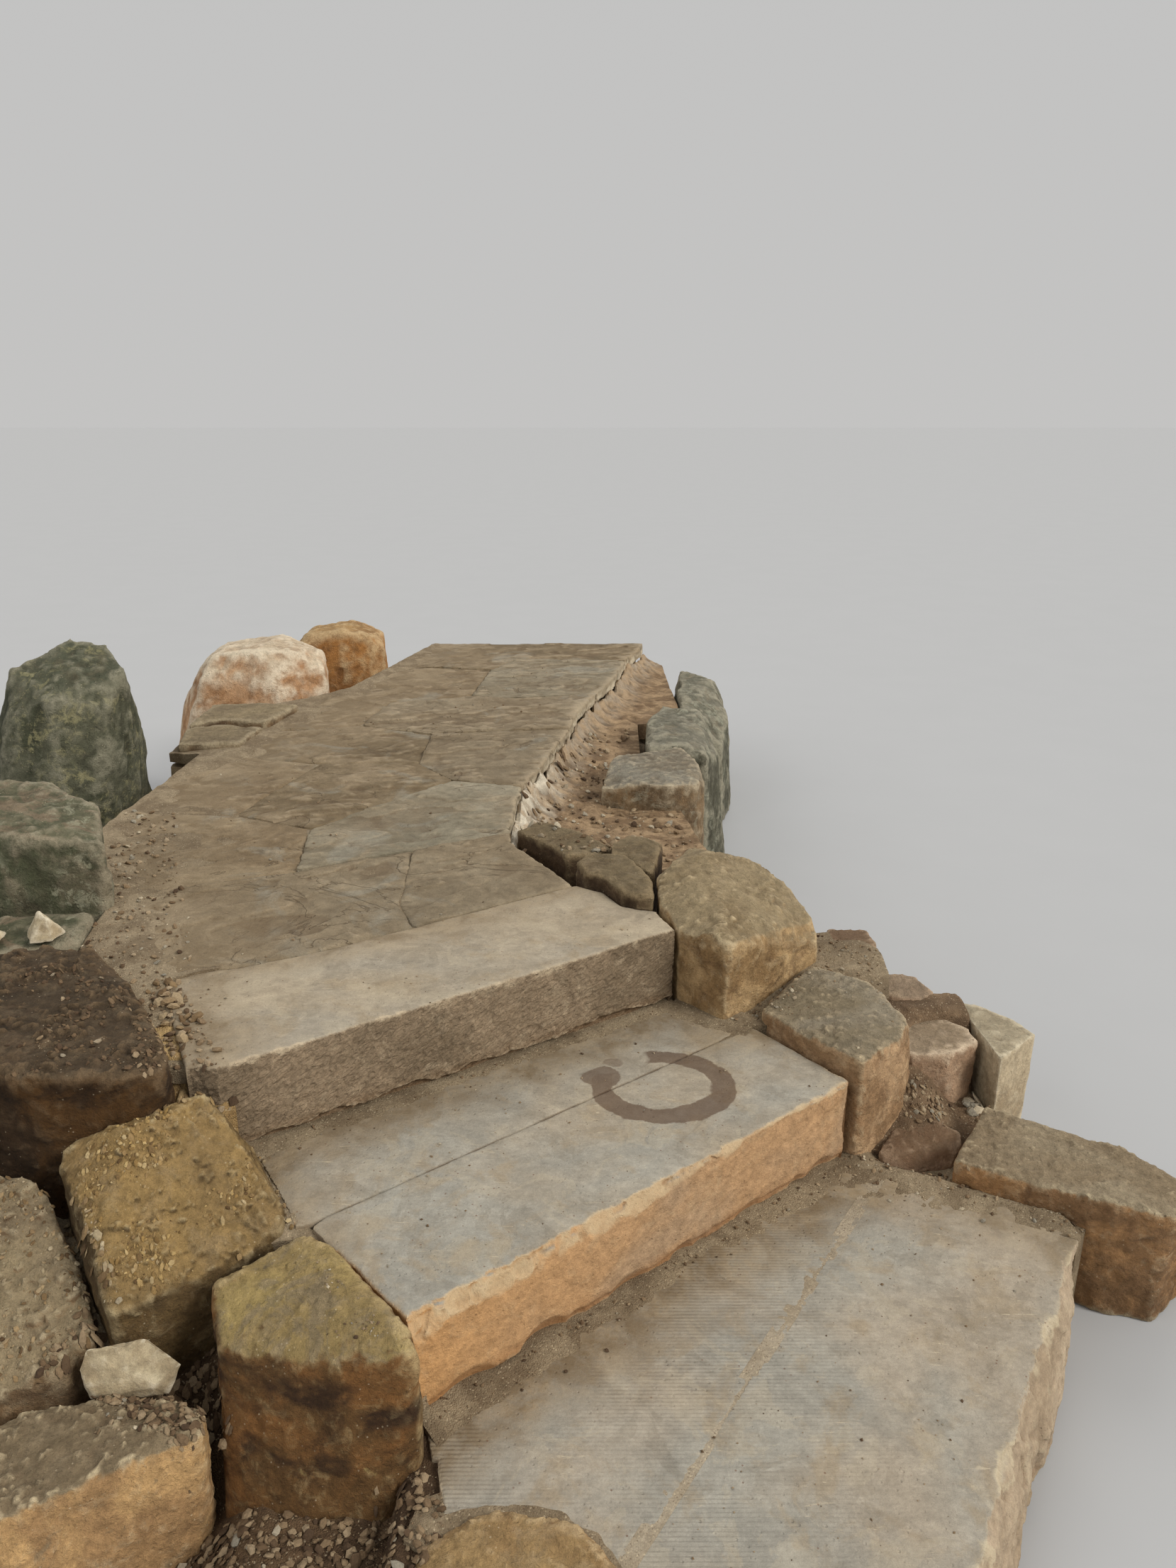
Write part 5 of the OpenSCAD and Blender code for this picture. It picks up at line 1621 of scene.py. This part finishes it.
drift("riser_3_foot_sand", RISER3, 0.06, 0.0055, 390, 81,
      more=lambda a: 1 + 3.0 * np.exp(-a / 0.08) + 0.9 * np.exp(-(1 - a) / 0.1))
drift("riser_2_foot_sand", RISER2, 0.09, 0.0055, 200, 84, 9000, more=lambda a: 1 + 2.0 * np.exp(-a / 0.12))


def corner_z(x, y):
    """thin sand at the first tread's far end, that falls away behind it and beside its right end"""
    q = xy3(x, y)
    xx, dd = x - SHIFT[0], y - SHIFT[1]
    e, _ = to_line(x, y, [(500, 2066), (590, 1990), (640, 1978), (770, 1912), (890, 1857), (930, 1843), (952, 1786)])
    on = inside(x, y, [(400, 890), (952, 1786), (930, 1843), (890, 1857), (770, 1912), (640, 1978), (590, 1990),
                       (500, 2066), (0, 1300)])
    z = 0.1972 + 0.007 * np.exp(-e / 0.045) * (0.8 + 0.9 * fbm(q / 0.09, 3, 87)) + 0.0016 * fbm(q / 0.03, 4, 88)
    z = np.where(on, z, z - 0.036 * step(0.0, 0.055, e) * step(0.84, 0.78, xx) * step(0.58, 0.66, xx)
                 + 0.004 * fbm(q / 0.04, 3, 86) - 0.008 * step(0.80, 0.86, xx))
    return z - 0.012 * step(0.935, 0.965, xx)


heightfield("right_corner_sand", [(430, 1900), (490, 2070), (640, 2070), (830, 2070), (830, 1960), (960, 1860), (990, 1838),
                                  (955, 1790), (938, 1768), (890, 1790), (760, 1850), (640, 1860)],
            corner_z, 0.0, 0.006, 10000, m_sand)

# sand and grit in the gaps beside the blocks' left ends, and round the low stone at the front
heightfield("left_gap_sand", [(-545, 1556), (-500, 1566), (-410, 1512), (-262, 1352), (-248, 1362), (-262, 1392), (-418, 1550),
                              (-500, 1600), (-556, 1700), (-600, 1768), (-645, 1820), (-680, 1800), (-650, 1745),
                              (-590, 1684), (-548, 1606)],
            lambda x, y: 0.386 - 0.016 * step(1.60, 1.54, y - SHIFT[1]) - 0.14 * step(1.42, 1.37, y - SHIFT[1])
            + 0.006 * fbm(xy3(x, y) / 0.04, 3, 101), 0.1, 0.006, 4000, m_sand)
# crumbs that fill the slot between the flat boulder and the one at the second step's end
SLOT = [(-785, 1425), (-835, 1490), (-893, 1568), (-945, 1622), (-985, 1650), (-960, 1690), (-880, 1670), (-832, 1565),
        (-772, 1480), (-740, 1430)]
heightfield("left_slot_sand", SLOT,
            lambda x, y: 0.245 + 0.72 * (y - SHIFT[1] - 1.43) - 0.10 * step(1.58, 1.66, y - SHIFT[1])
            + 0.008 * fbm(xy3(x, y) / 0.04, 3, 107), 0.0, 0.006, 3000, m_sand)
# dust that fills the joint between the first tread's two blocks
heightfield("tread_1_joint_sand", [(33, 1126), (56, 1110), (619, 1954), (596, 1970)],
            lambda x, y: 0.1986 + 0.0012 * fbm(xy3(x, y) / 0.05, 3, 106), 0.185, 0.0045, 4000, m_tread_dust)
NOTCH = [(-232, 1190), (-165, 1205), (-110, 1212), (-40, 1200), (5, 1168), (40, 1120)]


def collar_z(x, y):
    """sand that fills the gap behind the low stone and thins out over the tread's edge"""
    d, _ = to_line(x, y, NOTCH)
    return 0.1955 + 0.0060 * np.exp(-(d / 0.015) ** 2) * (0.85 + 0.9 * fbm(xy3(x, y) / 0.07, 3, 103)) \
        + 0.0010 * fbm(xy3(x, y) / 0.03, 3, 102)


heightfield("front_gap_sand", [(-262, 1170), (-246, 1232), (-170, 1262), (-105, 1268), (-30, 1254), (32, 1216), (68, 1160),
                               (74, 1112), (46, 1082), (-10, 1130), (-110, 1155), (-200, 1135)],
            collar_z, 0.1, 0.005, 4000, m_sand)


def right_gap_z(x, y):
    """earth that slopes down between the wedge stone, the curb boulder and the long slab"""
    q = xy3(x, y)
    xx, dd = x - SHIFT[0], y - SHIFT[1]
    z = 0.190 + 0.150 * np.clip((dd - 2.06) / 0.20, 0, 1) * step(0.85, 0.72, xx)
    z = z + (0.362 - z) * step(2.28, 2.36, dd)
    z = z - 0.15 * step(0.890, 0.940, xx)
    return z + 0.007 * fbm(q / 0.05, 4, 104) + 0.004 * facets(q / 0.03, 105)


heightfield("right_gap_sand", [(600, 2050), (700, 2035), (830, 2040), (900, 2060), (940, 2110), (935, 2200), (925, 2300),
                               (885, 2425), (720, 2400), (640, 2230)],
            right_gap_z, 0.0, 0.006, 6000, m_sand3)


def right_fill_z(x, y):
    q = xy3(x, y)
    u = (y - SHIFT[1]) - 2.24
    return 0.391 + 0.040 * step(0.02, 0.26, u) + 0.006 * fbm(q / 0.05, 4, 89) + 0.012 * fbm(q / 0.14, 2, 90)


heightfield("right_fill_look", [(296, 2226), (372, 2216), (440, 2226), (545, 2390), (640, 2360), (700, 2330), (720, 2420),
                                (716, 2520), (690, 2560), (620, 2570), (612, 2610), (560, 2610), (530, 2470), (300, 2270)],
            right_fill_z, 0.0, 0.0065, 7000, m_sand, node="right_fill")
drift("tread_2_end_sand", [(372, 2226), (200, 2330)][::-1], 0.09, 0.012, 390, 91, 3000)


def left_fill_z(x, y):
    q = xy3(x, y)
    dd = y - SHIFT[1]
    xx = x - SHIFT[0]
    z = 0.050 + 0.085 * step(-0.62, -0.48, xx) + 0.12 * step(1.33, 1.45, dd) + 0.05 * step(1.40, 1.52, dd)
    z = np.maximum(z, 0.186 * step(-0.34, -0.27, xx) * step(1.05, 1.13, dd))
    z = z - 0.13 * step(1.13, 1.02, dd)
    return np.maximum(z + 0.010 * fbm(q / 0.05, 4, 92) + 0.008 * fbm(q / 0.16, 2, 93), 0.005)


heightfield("left_fill_look",
            [[(-495, 1262), (-510, 1340), (-540, 1448), (-530, 1500), (-545, 1590), (-640, 1560), (-705, 1515), (-775, 1540),
              (-850, 1620), (-900, 1560), (-850, 1470), (-840, 1425), (-880, 1375), (-836, 1310), (-736, 1315), (-650, 1305),
              (-640, 1285), (-630, 1262)],
             [(-630, 1262), (-520, 1300), (-470, 1300), (-340, 1300), (-310, 1330), (-305, 1400), (-225, 1400), (-200, 1215),
              (-160, 1195), (-215, 1150), (-262, 1095), (-225, 1020), (-300, 1000), (-430, 1010), (-560, 1080), (-640, 1140),
              (-740, 1160), (-650, 1240)]],
            left_fill_z, 0.0, 0.0065, 12000, m_dirt, node="left_fill")


def ledge_z(x, y):
    q = xy3(x, y)
    d, _ = to_line(x, y, RIGHT_EDGE)
    dd = y - SHIFT[1]
    near = step(2.70, 2.95, dd) * step(3.70, 3.35, dd)
    z = 0.462 + 0.098 * np.exp(-np.maximum(d - 0.004, 0) / 0.045) * (0.72 + 0.5 * fbm(q / 0.09, 3, 94) + 0.28 * near)
    return z + 0.013 * fbm(q / 0.12, 4, 95, 0.5) + 0.0022 * facets(warp(q, 0.05, 0.02, 3) / 0.06, 96)


def ledge_attrs(p, n):
    d, _ = to_line(p[:, 0], p[:, 1], RIGHT_EDGE)
    dd = p[:, 1] - SHIFT[1]
    near = step(2.70, 2.92, dd) * step(3.75, 3.40, dd)
    m = step(0.11, 0.02, d + 0.05 * fbm(p / 0.05, 4, 97)) * (0.35 + 0.65 * near)
    return {"mort": m}


heightfield("ledge_top", [(-24, 2576), (36, 2540), (82, 2464), (158, 2440), (158, 2560), (222, 2770), (448, 2796), (408, 2888),
                          (366, 2996), (336, 3140), (300, 3420), (60, 3440), (50, 3730), (190, 3800), (200, 4420),
                          (390, 4450), (362, 5436)] + [(x - 8, d) for (x, d) in RIGHT_EDGE[::-1]],
            ledge_z, 0.40, 0.009, 14000, m_rubble, attrs=ledge_attrs)

# ------------------------------------------------------------------ loose grit
r = np.random.default_rng(77)
by = {o.name: o for o in PIECES}
tree = ground_tree([o for o in PIECES if not o.name.startswith(("step_2_bed", "step_3_bed", "left_small"))])


def clump(size, seed, lo=-0.1, hi=0.35):
    def f(x, y):
        return float(step(lo, hi, fbm(np.array([[x / size, y / size, 0.3]]), 2, seed))[0])
    return f


def near_line(pts, reach):
    def f(x, y):
        d, _ = to_line(np.array([x]), np.array([y]), pts)
        return float(np.exp(-d[0] / reach))
    return f


# gravel among the left stones
scatter(tree, [(-600, 1262), (-530, 1280), (-482, 1250), (-328, 1248), (-262, 1300), (-200, 1215), (-215, 1150), (-262, 1095),
               (-225, 1030), (-430, 1010), (-640, 1140), (-620, 1250)], 1300, (0.003, 0.018), r, (0.02, 0.20), small=2.4,
        tone=(0, 0.62))
scatter(tree, [(-535, 1262), (-550, 1340), (-580, 1448), (-545, 1590), (-640, 1530), (-715, 1475), (-775, 1500), (-850, 1600),
               (-900, 1560), (-815, 1470), (-870, 1375), (-736, 1345), (-600, 1262)], 700, (0.003, 0.018), r, (0.12, 0.33),
        small=2.4, tone=(0, 0.62))
scatter(tree, [(-620, 1300), (-540, 1260), (-250, 1180), (-240, 1060), (-440, 1020), (-630, 1150)], 60, (0.008, 0.026), r,
        (0.02, 0.20), small=2.0)
# tops of the left stones
scatter(tree, [(-890, 1652), (-843, 1560), (-783, 1474), (-707, 1447), (-578, 1526), (-524, 1574), (-655, 1740), (-800, 1680)],
        700, (0.002, 0.0100), r, (0.33, 0.56), clump(0.12, 31), small=2.2, warm=1.0)
scatter(tree, [(-1000, 1340), (-842, 1382), (-792, 1432), (-885, 1568), (-970, 1640), (-1100, 1650)], 650, (0.002, 0.0105), r,
        (0.25, 0.46), clump(0.14, 32, -0.25, 0.25), small=2.2, warm=0.4)
scatter(tree, [(-1180, 2100), (-880, 2000), (-758, 1722), (-960, 1672), (-1200, 1720)], 560, (0.002, 0.0115), r, (0.50, 0.72),
        clump(0.12, 33, -0.25, 0.3), tone=(0, 0.26), small=2.4)
scatter(tree, [(-1180, 2100), (-880, 2000), (-758, 1722), (-960, 1672), (-1200, 1720)], 16, (0.006, 0.018), r, (0.50, 0.72),
        tone=(0.1, 0.8))
scatter(tree, [(-980, 1270), (-590, 1300), (-597, 1332), (-735, 1360), (-900, 1330)], 140, (0.003, 0.010), r, (0.2, 0.27),
        clump(0.1, 34))
scatter(tree, [(-470, 1530), (-300, 1340), (-420, 1330), (-580, 1450)], 70, (0.003, 0.008), r, (0.33, 0.42), clump(0.1, 35))
# heap beside the third step, left margin of the landing
scatter(tree, [(-800, 1690), (-640, 1762), (-700, 1850), (-850, 2090), (-900, 2090)], 260, (0.004, 0.020), r, (0.43, 0.62),
        tone=(0, 0.7))
scatter(tree, [(-770, 1700), (-660, 1755), (-715, 1790), (-770, 1780)], 40, (0.006, 0.026), r, (0.43, 0.56), small=1.6,
        tone=(0.2, 0.75), warm=0.8)
scatter(tree, [(-760, 1820), (-730, 1900), (-860, 2080), (-900, 2050)], 26, (0.008, 0.034), r, (0.5, 0.62), small=1.7,
        tone=(0.15, 0.75), warm=0.3)
scatter(tree, [(-770, 1785), (-940, 2055), (-1115, 2236), (-1135, 2440), (-1240, 2690), (-1350, 3110), (-1200, 3100),
               (-1060, 2700), (-930, 2400), (-840, 2150)], 420, (0.004, 0.018), r, (0.54, 0.62), small=3.0)
scatter(tree, SLOT, 150, (0.003, 0.014), r, (0.20, 0.46), small=2.0, warm=0.4)
# treads
scatter(tree, [(-670, 1765), (199, 2327), (260, 2240), (-600, 1690)], 300, (0.002, 0.0085), r, (0.37, 0.42),
        near_line(RISER3, 0.02), small=2.2, tone=(0, 0.7))
scatter(tree, [(-268, 1363), (542, 2014), (600, 1940), (-200, 1280)], 420, (0.002, 0.0095), r, (0.18, 0.24),
        near_line(RISER2, 0.03), small=2.2, tone=(0, 0.8))
scatter(tree, [(540, 2020), (700, 2015), (800, 2000), (1000, 1812), (940, 1750), (700, 1830), (560, 1900)], 240,
        (0.002, 0.012), r, (0.14, 0.24), near_line([(540, 2020), (790, 1990), (1000, 1812)], 0.05), small=2.5)
scatter(tree, [(-545, 1600), (-500, 1582), (-606, 1770), (-660, 1800)], 60, (0.003, 0.012), r, (0.36, 0.40), warm=0.6)
scatter(tree, [(400, 890), (950, 1788), (607, 1962), (44, 1118)], 150, (0.002, 0.007), r, (0.19, 0.21), small=3)
scatter(tree, [(-268, 1363), (542, 2014), (199, 2327), (-640, 1800)], 120, (0.002, 0.007), r, (0.38, 0.40), small=3)
scatter(tree, [(-670, 1765), (199, 2327), (-30, 2572), (-890, 2110)], 160, (0.002, 0.008), r, (0.57, 0.59), clump(0.3, 36), small=3)
scatter(tree, [(-890, 2110), (-30, 2572), (-200, 2870), (-200, 3330), (-60, 3980), (175, 5095), (-840, 4985), (-1325, 3365),
               (-1290, 2800)], 360, (0.002, 0.009), r, (0.57, 0.60), clump(0.35, 37), small=3)
# between the right stones, and the ledge
scatter(tree, [(700, 2120), (830, 2070), (900, 2100), (915, 2190), (880, 2260), (815, 2190), (720, 2200)], 130, (0.003, 0.012), r,
        (0.15, 0.34), small=2.4, tone=(0, 0.8))
scatter(tree, [(690, 2100), (760, 2110), (812, 2160), (740, 2190), (700, 2180)], 90, (0.004, 0.014), r, (0.18, 0.34), small=1.6,
        tone=(0.2, 0.9))
scatter(tree, [(845, 2190), (880, 2150), (912, 2190), (908, 2270), (888, 2262)], 14, (0.014, 0.030), r, (0.15, 0.30), small=1.2,
        tone=(0.8, 1))
scatter(tree, [(296, 2226), (440, 2226), (545, 2390), (700, 2330), (716, 2520), (560, 2610), (300, 2270)], 260, (0.003, 0.012),
        r, (0.36, 0.47))
scatter(tree, [(565, 2050), (402, 2240), (536, 2398), (660, 2310), (690, 2180)], 90, (0.002, 0.008), r, (0.38, 0.47),
        clump(0.1, 38))
scatter(tree, [(-24, 2576), (158, 2440), (222, 2770), (448, 2796), (336, 3140), (300, 3420), (60, 3440), (50, 3730), (190, 4400),
               (0, 4200), (-105, 3775), (-200, 3330), (-210, 2870)], 700, (0.004, 0.026), r, (0.43, 0.60), small=2.6)
make_grains("loose_grit", m_gravel, 5)

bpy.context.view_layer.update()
count = {o.name: tris(o) for o in PIECES}
print("TRIANGLES", sum(count.values()), sorted(count.items(), key=lambda t: -t[1])[:6])
